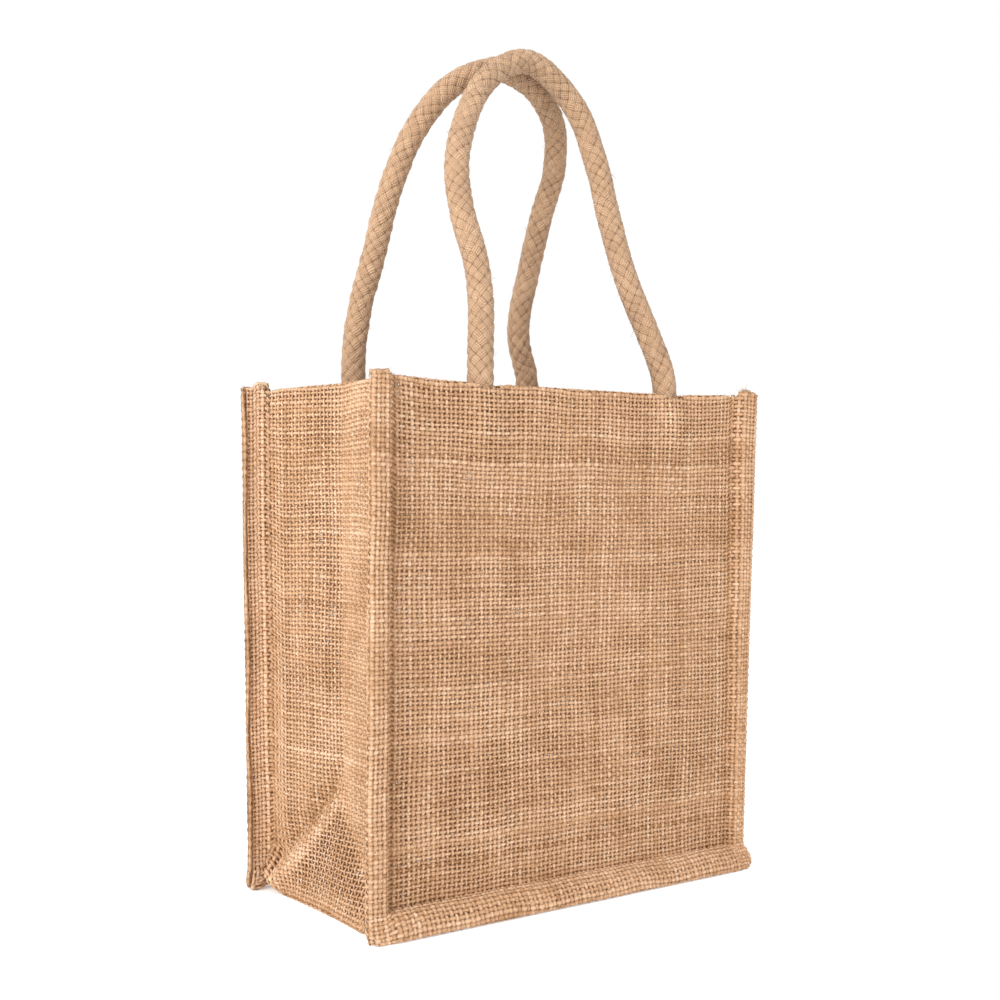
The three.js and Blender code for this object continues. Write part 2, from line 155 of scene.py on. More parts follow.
# Stations along the bag's bottom, as shares of the way between the side folds: where the allowance is met,
# across from the left seam, and how much further out it goes into each corner
BASE_SHARES = (0, 0.01, 0.03, 0.1, 0.37, 0.63, 0.9, 0.97, 0.99, 1)
BASE_ACROSS = (0, 0, 0, 20, 75, 128, 183, FLAT_WIDTH, FLAT_WIDTH, FLAT_WIDTH)
BASE_OUTSIDE = (-1, -0.5, 0, 0, 0, 0, 0, 0, 0.5, 1)

# The gusset's strip: the lengths of one side and of the bottom, and where each part of it begins
SIDE_LENGTH = FACE_TOP - CLOTH / 2
BASE_LENGTH = 208
STRIP_PARTS = np.cumsum([
    0, HEM_DEPTH, FOLD_LENGTH, SIDE_LENGTH, BASE_LENGTH, SIDE_LENGTH, FOLD_LENGTH, HEM_DEPTH])
STRIP_LENGTH = STRIP_PARTS[-1]

# A yarn is a tube with this many sides. It is wider where it lies on top, and its height follows its width
# only in part. Its thick places are slubs, with an amount over a number of crossings, like its tone's waves
YARN_SIDES = 3
WIDE_ON_TOP, WIDE_BELOW, EVEN_HEIGHT = 1.08, 0.9, 0.8
SLUBS = (0.11, 12), (0.05, 4)
TONE_WAVE = 0.6, 14
TONE_BY_YARN, TONE_MIDDLE, TONE_RANGE, TONE_SPECKLE = 0.5, 0.5, 0.25, 0.08
YARN_APART = 37.0
# Soft waves draw the yarns out of line: amount, length, and how much quicker they go across and along
DRIFT_ACROSS = (0.55, 34, 1, 1), (0.12, 16, 3, 1)
DRIFT_ALONG = (0.5, 30, 1, 1), (0.1, 14, 1, 3)
WEFT_STRAY = 0.8

# How wide the panels' yarns are, for warp and weft where there are two: in patches, in the allowances, on
# the back, beside the left seam, along the seams, at the rim's fold and at the outer edges. Along the seams
# the yarns also get painted shade
PANEL_PATCHES = (0.09, 26), (0.05, 9)
DENSE_ALLOWANCE, DENSE_BACK, DENSE_FROM, DENSE_EASE = 0.2, 0.18, -2, 4
OPEN_SEAM, OPEN_SEAM_AT = 0.08, (8, 5)
SEAM_THIN, SEAM_PAINTED_SHADE, SEAM_AT, SEAM_FOOT = 0.1, 0.45, (0.4, 1.1), -2
WIDER_AT_FOLD = 0.12, 0.22
WIDE_AT_EDGE, EDGE_BAND = (1.05, 1.2), 0.9
# Where the panels' cloth ends: the slit that a rope comes out of, and the tops of face and allowances
SLIT_SHIFT, SLIT_INSIDE = 0.4, 0.6
FACE_OVER, ALLOWANCE_OVER = 0.2, 0.5

# The same for the gusset, as hills with a centre and a reach and as steps with a start and a length, across
# the strip and up from the foot: the open band beside the crease, the denser front half, the open inside of
# the triangle, its edge, denser and with painted light, the recess above it with painted shade, the seams,
# denser and with painted shade, the unseen right half and the allowances, with painted light
GUSSET_PATCHES = (0.07, 24), (0.05, 9)
BAND_OPEN, BAND_ACROSS, BAND_UP = 0.2, (63, 8), (150, 45)
FRONT_DENSE, FRONT_FROM, FRONT_TO, FRONT_UP = 0.1, (-4, 8), (52, -8), (50, 20)
INSIDE_OPEN, INSIDE_EDGE, INSIDE_UP, INSIDE_ACROSS = 0.32, (0, -9), (5, 8), (4, 14)
RIDGE_DENSE_AND_PAINTED_LIGHT, RIDGE_UP, RIDGE_FROM, RIDGE_TO = 0.22, (-1, 5.5), (44, 10), (112, -14)
RECESS_PAINTED_SHADE, RECESS_UP, RECESS_FROM = 0.22, (11, 7), (50, 12)
SEAMS_DENSE, SEAMS_PAINTED_SHADE, SEAMS_HALF = 0.28, 0.1, 4
RIGHT_DENSE, ALLOWANCE_PAINTED_LIGHT, ALLOWANCE_EASE = 0.14, 0.3, 2
CUT_SLACK = 1

# The plaited rope: its radius, the strands each way, the grid steps to a strand, the length of one turn, how
# high a strand stands where it lies over another, and the depth of the pits where four strands meet
ROPE_RADIUS = 6.1
ROPE_STRANDS = 6
ROPE_STEPS = 6
ROPE_LAY = 38
ROPE_RELIEF, ROPE_PIT, ROPE_SWELL = 0.42, 0.5, 0.15
CROWN_POWER, PIT_POWER = 0.45, 5
STRAND_YARNS = 4
# Its unevenness, as an amount over a length: of the relief, of the girth, of the strands' places around and
# along, of the tone along a strand and of the painted shade in the joints between the strands
UNEVEN_RELIEF, UNEVEN_GIRTH = (0.45, 8), (0.012, 30)
UNEVEN_AROUND, UNEVEN_ALONG, SLIDE_ENDS = (0.13, 13), (0.9, 13), 10
STRAND_TONE, STRAND_SPREAD, STRAND_WAVE, STRAND_APART = 0.55, 0.05, (0.1, 22), 29.0
# Painted shade in the joints between the strands and in the pits where four meet, and how tightly each keeps
# to them
JOINT_WAVE, JOINT_PAINTED_SHADE, JOINT_POWER, PIT_PAINTED_SHADE, PIT_SHADE_POWER = (0.6, 7), 0.28, 8, 0.6, 12
ROPE_WAVE_RADIUS = 5

# Loose fibres: half their thickness, how much they bend and taper, and their tone
FIBRE_HALF, TUFT_FIBRE_HALF, FIBRE_BEND, FIBRE_TAPER = 0.1, 0.16, 0.7, 0.6
FIBRE_TONE, FIBRE_TONE_SPREAD = 0.6, 0.2
CLOTH_FIBRES, TUFT_FIBRES, ROPE_FIBRES = (1, 2.8), (0.7, 1.6), (0.9, 2.2)
ROPE_FIBRE_COUNT, ROPE_FIBRE_ENDS, ROPE_FIBRE_ROOT = 90, 12, 0.4
# Where they stand, across and along the cuts: on the panels and on the gusset's left and right
PANEL_SPAN = (-12, FLAT_WIDTH + 12), (0, FACE_HEIGHT + 2)
LEFT_SPAN = (0, GUSSET_WIDTH), (60, 260)
RIGHT_SPAN = (0, GUSSET_WIDTH), (STRIP_LENGTH - 260, STRIP_LENGTH - 60)
CLOTH_FIBRE_LEAN, CLOTH_FIBRE_STRAY, TUFT_FIBRE_STRAY, TUFT_ROOT_STRAY = 0.6, 0.5, 0.25, 0.4
# Tufts of raw fibre at the tops of the allowances: panel, side, place, width and count
RAW_TUFTS = (
    (FRONT_PANEL, RIGHT, 6.5, 4.5, 150), (BACK_PANEL, LEFT, 3, 3, 90),
    (FRONT_PANEL, LEFT, 3, 3, 20), (BACK_PANEL, RIGHT, 5, 3, 40),
)

# Where the rope handles pass, from one sewn end over the top to the other: x, y, z
FRONT_ROUTE = (
    (-49.6, -45.4, 213), (-49.5, -45.5, 228), (-48.8, -45.1, 240), (-46.3, -41.8, 253.1),
    (-41.9, -36.2, 274), (-39.6, -29.8, 294.6), (-40.5, -20.1, 319.9), (-37.9, -11.8, 342.7),
    (-27.8, -5.1, 368.7), (-11.7, -0.9, 391.5), (8.3, 1, 403.9), (18.6, 1.1, 404.8), (34.5, -0.1, 396.1),
    (46.5, -2.4, 381.8), (52.8, -8.4, 356.1), (53.3, -17.3, 327.4), (54.1, -29.1, 296.3), (61, -37.4, 269),
    (64.6, -43.4, 250), (64.8, -45.3, 238), (64.6, -45.5, 226), (64.4, -45.4, 213),
)
BACK_ROUTE = (
    (-55.8, 50.3, 213), (-56, 50.5, 231), (-56.6, 49.8, 247), (-57, 47.8, 264.1), (-54.4, 45.4, 285.5),
    (-50.3, 41.5, 306), (-45, 34.3, 339.1), (-35.8, 26, 368.3), (-20.2, 18.3, 390.4), (0.9, 14.2, 401.6),
    (12.1, 14, 402.7), (32.9, 16.1, 396.3), (48.8, 21.3, 382.3), (54.7, 28.3, 360.8), (51.1, 34.7, 337),
    (47.6, 41, 308.2), (44.9, 45.7, 283.9), (46, 47.2, 270.2), (51.7, 48.9, 256.2), (54.2, 50.3, 243),
    (54.4, 50.5, 229), (54.2, 50.3, 213),
)

# The camera: level, its place in millimetres, its heading, its lens, sensor and reach, and the photograph's
# small upward shift
CAMERA_PLACE = (-453.5, -586.5, 184.5)
CAMERA_HEADING = (0.609, 0.793)
CAMERA_LENS, CAMERA_SENSOR, CAMERA_REACH = 54.2, 36, 50
CAMERA_SHIFT = 0.004

# The studio, in metres: half of the floor's width, what the lamps look at, and each lamp's place, size and
# colour
FLOOR_HALF = 6.0
LAMP_AIM = (0.0, 0.0, 0.15)
KEY_LAMP = (-1.5, -0.45, 1.0), 1.0, (1.0, 0.985, 0.96)
FILL_LAMP = (-0.9, -1.7, 0.7), 1.2, (1.0, 0.99, 0.98)

# The painted warm glow, an emission that stands in for light coming through the cloth, and the levels
# between which its colours are blended
PAINTED_GLOW = (1.0, 0.43, 0.16, 1.0)
DARK_TO_MIDDLE, MIDDLE_TO_LIGHT = (-0.1, 0.5), (0.5, 1.1)
ROUGHNESS_SPREAD = 0.12


def ease(t):
    """A smooth step from 0 to 1: 3t squared less 2t cubed."""
    t = np.clip(t, 0, 1)
    return t * t * (3 - 2 * t)


def rise(x, start, length):
    """A soft step from 0 at start to 1 a length further on. A length below 0 makes it a fall."""
    return ease((x - start) / length)


def hill(x, centre, reach):
    """A round hill: e to the power of minus the square of the distance from its centre over its reach."""
    return np.exp(-(((x - centre) / reach) ** 2))


def lerp(a, b, t):
    """A straight mix of a and b."""
    return a + (b - a) * t


def unit(vectors):
    """Vectors brought to length 1."""
    length = np.linalg.norm(vectors, axis=-1, keepdims=True)
    return vectors / np.maximum(length, 1e-9)


def stack(x, y, z):
    """Three arrays of coordinates joined into one array of points."""
    return np.stack(np.broadcast_arrays(x, y, z), axis=-1)


def past_seams(across, width):
    """How far places on a cut lie past the nearer side seam, below 0 between the seams."""
    return np.maximum(-across, across - width)


def by_side(edge, table):
    """The entries of a table by side, each as an array with the entry of every point's own side."""
    return [np.where(edge == LEFT, left, right) for left, right in zip(table[LEFT], table[RIGHT])]


def ripple(a, b, seed, reach, count=7):
    """A soft uneven field of about -1 to 1: a sum of sine waves of random direction, as long as reach or
    more."""
    rng = np.random.default_rng(seed)
    total = 0
    for _ in range(count):
        heading = rng.uniform(0, 2 * np.pi)
        length = reach * rng.uniform(1, 2.6)
        phase = rng.uniform(0, 2 * np.pi)
        total = total + np.sin(2 * np.pi * (a * np.cos(heading) + b * np.sin(heading)) / length + phase)
    return total / np.sqrt(2 * count)


def waved(values, a, b, seed, *waves, seed_step=1):
    """Values with ripples added, each with its amount, its reach and, where given, how much quicker it goes
    along a and along b."""
    for k, (amount, reach, *quicker) in enumerate(waves):
        quick_a, quick_b = quicker or (1, 1)
        values = values + amount * ripple(a * quick_a, b * quick_b, seed + k * seed_step, reach)
    return values


def seam_x(edge, height):
    """A side seam's place along X at a height: half the width to its side, plus the lean to the right."""
    share = height / RIM_HEIGHT
    return RIM_SHIFT_RIGHT * share + edge * lerp(WIDTH_AT_FOOT, WIDTH_AT_RIM, share) / 2


def seam_y(face, height):
    """A panel's place along Y at a height: half the depth to its side, plus the lean to the back."""
    share = height / RIM_HEIGHT
    return RIM_SHIFT_BACK * share + face * lerp(DEPTH_AT_FOOT, DEPTH_AT_RIM, share) / 2


def pocket(panel, x):
    """How far the hem stands off its panel over a rope end: flat over the rope, a shoulder, then a flank."""
    depth = np.zeros_like(x)
    for rope_end in panel["rope_ends"]:
        off = np.abs(x - rope_end)
        fall = np.clip((off - POCKET_FLAT) / (POCKET_SHOULDER - POCKET_FLAT), 0, 1)
        flank = np.clip((POCKET_REACH - off) / (POCKET_REACH - POCKET_SHOULDER), 0, 1)
        depth = np.maximum(depth, POCKET_DEPTH * lerp(1, SHOULDER_SHARE, fall) * flank)
    return depth


def swelling(panel, u, x, z):
    """How far the cloth swells out of the panel's plane: a sum of round hills that die away at the seams."""
    out = np.zeros_like(x)
    for place, height, far, wide, tall in panel["swellings"]:
        out = out + far * np.exp(-(((x - place) / wide) ** 2) - ((z - height) / tall) ** 2)
    from_sides = ease(u / SWELLING_EDGE) * ease((1 - u) / SWELLING_EDGE)
    return out * from_sides * rise(z, FOOT_RISE, SWELLING_RISE)


def on_panel(panel, across, up):
    """Points of a panel's middle surface from places on its flat cut, across from the left seam and up from
    the lower seam. The face is a sheet between leaning seams, the side allowances run out past them, the
    lower one curves down a quarter turn to the floor, and past the rim the hem turns over half a turn and
    comes down."""
    edge = np.where(across < FLAT_WIDTH / 2, LEFT, RIGHT)
    reach_at_foot, reach_at_rim, spread_out, stand = by_side(edge, FINS[panel["face"]])
    u = np.clip(across / FLAT_WIDTH, 0, 1)
    beyond = np.maximum(past_seams(across, FLAT_WIDTH), 0) / ALLOWANCE
    outside = beyond > 0

    top = np.where(outside, ALLOWANCE_TOP, FACE_TOP - panel["dip"] * (1 - (2 * u - 1) ** 4))
    climb = np.where(outside, np.maximum(up, 0) / FACE_HEIGHT, np.clip(up / FACE_HEIGHT, 0, 1))
    drop = np.where(outside, 0, np.maximum(up - FACE_HEIGHT - FOLD_LENGTH, 0))
    turn = np.where(outside, 0, np.clip((up - FACE_HEIGHT) / FOLD_LENGTH, 0, 1) * np.pi)
    roll = np.clip(-up / ALLOWANCE, 0, 1) * np.pi / 2

    height = lerp(FOOT_RISE, top, climb) - drop
    reach = lerp(reach_at_foot, reach_at_rim, height / RIM_HEIGHT) + spread_out * np.sin(roll)
    x = lerp(seam_x(LEFT, height), seam_x(RIGHT, height), u) + edge * reach * beyond

    flank = ease(beyond * ALLOWANCE / FLANK)
    straight = 2 * roll / np.pi
    foot = FOOT_OUT * lerp(np.sin(roll), CORNER_OUT * straight, flank)
    sink = (FOOT_RISE - FOOT_END) * lerp(1 - np.cos(roll), straight, flank)
    turned = (1 - np.cos(turn)) / 2
    hem = (2 * HEM_RADIUS + pocket(panel, x)) * turned
    out = stand * flank + foot + swelling(panel, u, x, height) * (1 - turned) - hem
    y = seam_y(panel["face"], height) + panel["face"] * out
    return stack(x, y, height + HEM_RADIUS * np.sin(turn) - sink)


def wrapped_panel(panel, across, up):
    """A panel whose allowances are turned round the gusset's: past a line with rounded corners, a little
    inside the edge, the cloth goes half a turn round and comes back behind."""
    inset = ALLOWANCE - WRAP_RADIUS - WRAP_CORNER
    to_side = np.where(across < FLAT_WIDTH / 2, np.minimum(across + inset, 0),
                       np.maximum(across - FLAT_WIDTH - inset, 0))
    down = np.minimum(up + inset, 0)
    away = np.maximum(np.hypot(to_side, down), 1e-6)
    past = np.maximum(away - WRAP_CORNER, 0)
    heading = to_side / away, down / away
    edge_across, edge_up = across - past * heading[0], up - past * heading[1]
    points = on_panel(panel, edge_across, edge_up)
    normal = slope(partial(on_panel, panel), edge_across, edge_up) * -panel["face"]
    inside = on_panel(panel, edge_across - heading[0] * SLOPE_STEP, edge_up - heading[1] * SLOPE_STEP)
    outwards = unit(points - inside)
    turn = np.minimum(past / WRAP_RADIUS, np.pi)
    back = np.maximum(past - np.pi * WRAP_RADIUS, 0)
    reach = (WRAP_RADIUS * np.sin(turn) - back)[..., None]
    turned = points + outwards * reach - normal * (WRAP_RADIUS * (1 - np.cos(turn)))[..., None]
    return np.where((past > 0)[..., None], turned, points)


def behind_panel(panel, across, up):
    """The same places on the gusset's layer: moved inwards along the panel's slope by the layers' pitch."""
    edge = np.where(across < FLAT_WIDTH / 2, LEFT, RIGHT)
    aside = edge * SLOPE_STEP
    outwards = on_panel(panel, across + aside, up) - on_panel(panel, across - aside, up)
    down = on_panel(panel, across, up - SLOPE_STEP) - on_panel(panel, across, up + SLOPE_STEP)
    normal = unit(np.cross(outwards, down))
    beyond = past_seams(across, FLAT_WIDTH)
    corner = ease(1 + beyond / CORNER_EASE) * ease((CORNER_EASE - up) / (2 * CORNER_EASE))
    pitch = LAYER_PITCH + CORNER_SLACK * corner
    points = on_panel(panel, across, up) - normal * (edge * panel["face"] * pitch)[..., None]
    points[..., 2] = np.maximum(points[..., 2], INNER_END)
    return points


def seam_inset(z):
    """How far the gusset's seam lies behind the panel, a little more at the bulky bottom corners."""
    return SEAM_INSET + CORNER_SLACK * ease((2 * FOOT_RISE - z) / FOOT_RISE)


def base_height(q):
    """The bottom's height above the floor: flat in the middle, raised to the seams at front and back."""
    from_seam = np.minimum(q, 1 - q) * GUSSET_WIDTH
    return CLOTH / 2 + (FOOT_RISE - SEAM_DROP - CLOTH / 2) * (1 - ease(from_seam / BASE_EASE))


def drawn(edge, q, near_foot):
    """How far the cloth is drawn out along the allowances at a corner of the foot."""
    from_seam = np.minimum(q, 1 - q) * GUSSET_WIDTH
    return np.where(q < 0.5, *by_side(edge, CORNER_DRAW)) * ease(1 - from_seam / BASE_EASE) * near_foot


def triangle_edge(q):
    """The height of the foot's triangle: it rises to the middle and sags on the way."""
    towards_middle = 1 - np.abs(2 * q - 1)
    sag = TRIANGLE_SAG * 4 * towards_middle * (1 - towards_middle)
    return TRIANGLE_FOOT + TRIANGLE_RISE * towards_middle - sag


def floor_fold(edge, q):
    """How far the fold on the floor lies outside the side seam, bowed in between its ends."""
    return lerp(*by_side(edge, FLOOR_FOLDS), q) - FOLD_BOW * 4 * q * (1 - q) + drawn(edge, q, 1)


def on_gusset_side(edge, q, share, turn, drop):
    """Points of the gusset's sides between the seams: the middle folded in along a crease, with a triangle at
    its foot that leans out to the fold on the floor. Towards the drawn corners the cloth stands further out,
    and above the triangle's sloping edges it drops in."""
    floor = base_height(q)
    z = lerp(floor, FACE_TOP, share) - drop
    near_foot = 1 - rise(z, DRAW_FOOT, SHELF)
    off_panel = seam_inset(z) + DRAW_OFF * ease(drawn(edge, q, near_foot) / DRAW_FULL)
    y = lerp(seam_y(FRONT, z) + seam_inset(z), seam_y(BACK, z) - off_panel, q)
    towards_middle = 1 - np.abs(2 * q - 1)
    diagonal = np.maximum(triangle_edge(q), floor + TRIANGLE_LEAST)
    corner_out = np.where(q < 0.5, CORNER_DRAW[LEFT][0], CORNER_DRAW[LEFT][1] + FLOOR_FOLDS[LEFT][1])
    corner_out = np.where(edge == LEFT, corner_out, CORNER_DRAW[RIGHT][0])
    corner_out = corner_out * (1 - towards_middle) ** CORNER_FADE
    above = np.clip((z - floor) / (diagonal - floor), 0, 1)
    inwards = lerp(-floor_fold(edge, q), CENTRE_FOLD * towards_middle - corner_out, above)
    inwards = inwards + corner_out * rise(z, diagonal, SHELF) + HEM_RADIUS * (1 - np.cos(turn))
    soft = ease(towards_middle * RIDGE_ENDS) * ease((FACE_TOP - z) / SHELF) * rise(q, RIDGE_START, RIDGE_EASE)
    inwards = inwards - RIDGE * soft * hill(z - diagonal, 0, RIDGE_HALF)
    inwards = inwards + RIDGE * soft * hill(z - diagonal, SHELF, RIDGE_HALF)
    return stack(seam_x(edge, z) - edge * inwards, y, z + HEM_RADIUS * np.sin(turn))


def on_gusset(across, along):
    """Points of the gusset's middle surface, across the strip from its front seam and along it from the left
    hem's edge, down the left side, under the bag and up the right side to the right hem's edge."""
    along = np.clip(along, 0, STRIP_LENGTH)
    fold, face, base, base_end = STRIP_PARTS[1:5]
    edge = np.where(along < STRIP_LENGTH / 2, LEFT, RIGHT)
    from_rim = np.minimum(along, STRIP_LENGTH - along)
    q = np.clip(across / GUSSET_WIDTH, 0, 1)
    beyond = np.maximum(past_seams(across, GUSSET_WIDTH), 0)

    share = 1 - np.clip((from_rim - face) / SIDE_LENGTH, 0, 1)
    turn = np.pi * (1 - np.clip((from_rim - fold) / FOLD_LENGTH, 0, 1))
    side = on_gusset_side(edge, q, share, turn, np.maximum(fold - from_rim, 0))

    base_share = np.clip((along - base) / BASE_LENGTH, 0, 1)
    y = lerp(seam_y(FRONT, 0) + seam_inset(0), seam_y(BACK, 0) - seam_inset(0), q)
    left = seam_x(LEFT, 0) - floor_fold(LEFT, q)
    right = seam_x(RIGHT, 0) + floor_fold(RIGHT, q)
    bottom = stack(lerp(left, right, base_share), y, base_height(q))

    is_base = (along > base) & (along < base_end)
    between = np.where(is_base[..., None], bottom, side)
    below = np.minimum(share / CORNER_SHARE, 1)
    above = np.maximum((share - CORNER_SHARE) / (1 - CORNER_SHARE), 0)
    outside = beyond * np.interp(base_share, BASE_SHARES, BASE_OUTSIDE)
    base_across = np.interp(base_share, BASE_SHARES, BASE_ACROSS) + outside
    out_across = np.where(is_base, base_across, np.where(edge == LEFT, -beyond, FLAT_WIDTH + beyond))
    allowances = []
    for panel in (FRONT_PANEL, BACK_PANEL):
        tuft, tuft_at = by_side(edge, TUFTS[panel["face"]])
        tuft = tuft * ease(TUFT_STEEP * (1 - np.abs(beyond - tuft_at) / TUFT_HALF))
        side_up = -beyond * (1 - below) + (FACE_HEIGHT + tuft) * above
        allowances.append(behind_panel(panel, out_across, np.where(is_base, -beyond, side_up)))
    outer = np.where((across < GUSSET_WIDTH / 2)[..., None], *allowances)
    return np.where((beyond > 0)[..., None], outer, between)


def slope(surface, across, along, step=0.4):
    """Outward normals of a surface: the cross product of its slopes across and along."""
    over = surface(across + step, along) - surface(across - step, along)
    ahead = surface(across, along + step) - surface(across, along - step)
    return unit(np.cross(over, ahead))


def tubes(points, up, half_width, half_height, tone, keep=None):
    """Closed tubes along rows of points, as arrays: each point carries a ring, its half-width across and its
    half-height along up, with one corner on its crown. Where keep is false a tube is cut and capped."""
    count, steps = points.shape[:2]
    if keep is None:
        keep = np.ones((count, steps - 1), bool)
    ahead = unit(np.gradient(points, axis=1))
    side = unit(np.cross(up, ahead))
    crown = np.cross(ahead, side)
    k = np.arange(YARN_SIDES)
    angle = np.pi / 2 + 2 * np.pi * k / YARN_SIDES
    wide = (half_width / np.abs(np.cos(angle)).max())[..., None, None]
    tall = half_height[..., None, None]
    ring = points[:, :, None] + side[:, :, None] * np.cos(angle)[:, None] * wide
    ring = ring + crown[:, :, None] * np.sin(angle)[:, None] * tall

    base = (np.arange(count)[:, None] * steps + np.arange(steps)) * YARN_SIDES
    near, far = base[:, :-1][keep][:, None], base[:, 1:][keep][:, None]
    after = (k + 1) % YARN_SIDES
    walls = np.stack([near + k, near + after, far + after, far + k], axis=-1)

    steps_long = np.linalg.norm(np.diff(points, axis=1), axis=2)
    length = np.concatenate([np.zeros((count, 1)), steps_long.cumsum(1)], 1)
    from_u, to_u = length[:, :-1][keep], length[:, 1:][keep]
    map_u = np.broadcast_to(np.stack([from_u, from_u, to_u, to_u], axis=-1)[:, None], walls.shape)
    map_v = np.broadcast_to(np.stack([k, k + 1, k + 1, k], axis=-1) / YARN_SIDES, walls.shape)

    padded = np.pad(keep, ((0, 0), (1, 1)))
    starts = base[padded[:, 1:] & ~padded[:, :-1]]
    ends = base[padded[:, :-1] & ~padded[:, 1:]]
    return {
        "points": ring.reshape(-1, 3),
        "walls": walls.reshape(-1, 4),
        "caps": np.concatenate([starts[:, None] + k[::-1], ends[:, None] + k]),
        "wall_map": np.stack([map_u, map_v], axis=-1).reshape(-1, 4, 2),
        "tone": np.repeat(tone[..., None], YARN_SIDES, axis=2).reshape(-1),
    }


def joined(parts):
    """Several sets of tubes as one."""
    offsets = np.cumsum([0] + [len(part["points"]) for part in parts[:-1]])
    whole = {key: np.concatenate([part[key] for part in parts]) for key in ("points", "wall_map", "tone")}
    for key in ("walls", "caps"):
        whole[key] = np.concatenate([part[key] + offset for part, offset in zip(parts, offsets)])
    return whole


def piece(name, shape, material, replaces=()):
    """A mesh object in metres from tubes, with its yarn map, tone and finish. It rides on the root and, where
    named, takes the place of solids."""
    used = np.unique(np.concatenate([shape["walls"].reshape(-1), shape["caps"].reshape(-1)]))
    order = np.zeros(len(shape["points"]), np.int32)
    order[used] = np.arange(len(used))
    walls, caps = order[shape["walls"]], order[shape["caps"]]
    corners = np.concatenate([walls.reshape(-1), caps.reshape(-1)]).astype(np.int32)
    sizes = np.concatenate([np.full(len(walls), 4), np.full(len(caps), caps.shape[1])]).astype(np.int32)

    mesh = bpy.data.meshes.new(name)
    mesh.vertices.add(len(used))
    mesh.vertices.foreach_set("co", (shape["points"][used] * MM).astype(np.float32).reshape(-1))
    mesh.loops.add(len(corners))
    mesh.loops.foreach_set("vertex_index", corners)
    mesh.polygons.add(len(sizes))
    starts = np.concatenate([[0], np.cumsum(sizes)[:-1]]).astype(np.int32)
    mesh.polygons.foreach_set("loop_start", starts)
    mesh.polygons.foreach_set("use_smooth", np.ones(len(sizes), bool))
    mesh.update(calc_edges=True)

    cap_map = np.zeros((caps.size, 2))
    yarn_map = np.concatenate([shape["wall_map"].reshape(-1, 2), cap_map]).astype(np.float32)
    mesh.uv_layers.new(name="yarn_map").data.foreach_set("uv", yarn_map.reshape(-1))
    tone = shape["tone"][used].astype(np.float32)
    mesh.attributes.new("tone", "FLOAT", "POINT").data.foreach_set("value", tone)
    mesh.materials.append(material)
    mesh.validate()

    made = linked(name, mesh)
    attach(made, "root")
    if replaces:
        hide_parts(*replaces)
    return made


def crossings(columns, rows, seed, sizes):
    """Where the yarns cross on the flat cut: an even grid, each yarn a little off its place, each crossing a
    very little more, and the whole cloth drawn gently out of line by soft waves."""
    rng = np.random.default_rng(seed)
    a, b = np.meshgrid(columns, rows, indexing="ij")
    stray = sizes.yarn_stray * PER_METRE
    across = a + rng.normal(0, stray, len(columns))[:, None] + rng.normal(0, stray / 2, a.shape)
    along = b + rng.normal(0, stray * WEFT_STRAY, len(rows))[None, :] + rng.normal(0, stray / 2, a.shape)
    return waved(across, a, b, seed + 1, *DRIFT_ACROSS), waved(along, a, b, seed + 3, *DRIFT_ALONG)


def doubled(values, reach):
    """Two places for each crossing along a yarn, a share of the way to the crossing before and the one
    after."""
    before = np.concatenate([2 * values[:, :1] - values[:, 1:2], values[:, :-1]], axis=1)
    after = np.concatenate([values[:, 1:], 2 * values[:, -1:] - values[:, -2:-1]], axis=1)
    both = np.empty((values.shape[0], 2 * values.shape[1]))
    both[:, ::2] = lerp(values, before, reach)
    both[:, 1::2] = lerp(values, after, reach)
    return both


def weave(surface, across, along, first, is_cloth, looseness, fine, seed, sizes):
    """Warp and weft of a plain weave on a surface. At each crossing one yarn lies over the other by half the
    cloth, in a short flat stretch, then dips under the next one, widest where it shows. First is the number
    of the first weft, so that a cloth made in two parts keeps its over and under. Yarns are uneven in width
    and tone, with thick places some ten crossings long, and none goes below the floor. Where a yarn lies on
    top it gets a painted highlight. Looseness gives their share of the common width and the painted shading
    laid into their tone in each place: painted shade, and painted light where it is below 0."""
    rng = np.random.default_rng(seed)
    columns, rows = np.indices(across.shape)
    checks = (columns + rows + first) % 2 * 2 - 1
    depth = sizes.yarn_depth * PER_METRE / 2
    result = []
    for kind, a, b, over, width in ((0, across, along, checks, sizes.warp_width),
                                    (1, across.T, along.T, -checks.T, sizes.weft_width)):
        if fine:
            a, b, over = doubled(a, sizes.plateau), doubled(b, sizes.plateau), np.repeat(over, 2, axis=1)
        normal = slope(surface, a, b)
        points = surface(a, b) + normal * ((CLOTH / 2 - depth) * over)[..., None]
        cloth = is_cloth(a, b)
        yarn, place = np.indices(cloth.shape)
        yarn, place = yarn * YARN_APART, place / (2 if fine else 1)
        thick = rng.lognormal(0, sizes.unevenness, len(cloth))[:, None]
        slub = waved(1, place, yarn, seed + 11 + kind, *SLUBS, seed_step=2)
        loose, painted_shading = looseness(a, b, kind)
        wider = np.where(over > 0, WIDE_ON_TOP, WIDE_BELOW)
        half_width = width * PER_METRE / 2 * thick * slub * wider * loose
        half_height = depth * (EVEN_HEIGHT + (1 - EVEN_HEIGHT) * thick * slub)
        tone = rng.normal(0, TONE_BY_YARN, len(cloth))[:, None]
        tone = TONE_MIDDLE + TONE_RANGE * waved(tone, place, yarn, seed + 17 + kind, TONE_WAVE)
        # Painted highlight on the crowns, where a yarn lies on top, less the painted shading from looseness
        tone = tone + rng.normal(0, TONE_SPECKLE, cloth.shape) + sizes.painted_crown_highlight * over - painted_shading
        yarns = tubes(points, normal, half_width, half_height, tone, cloth[:, :-1] & cloth[:, 1:])
        yarns["points"][:, 2] = np.maximum(yarns["points"][:, 2], 0)
        result.append(yarns)
    return result


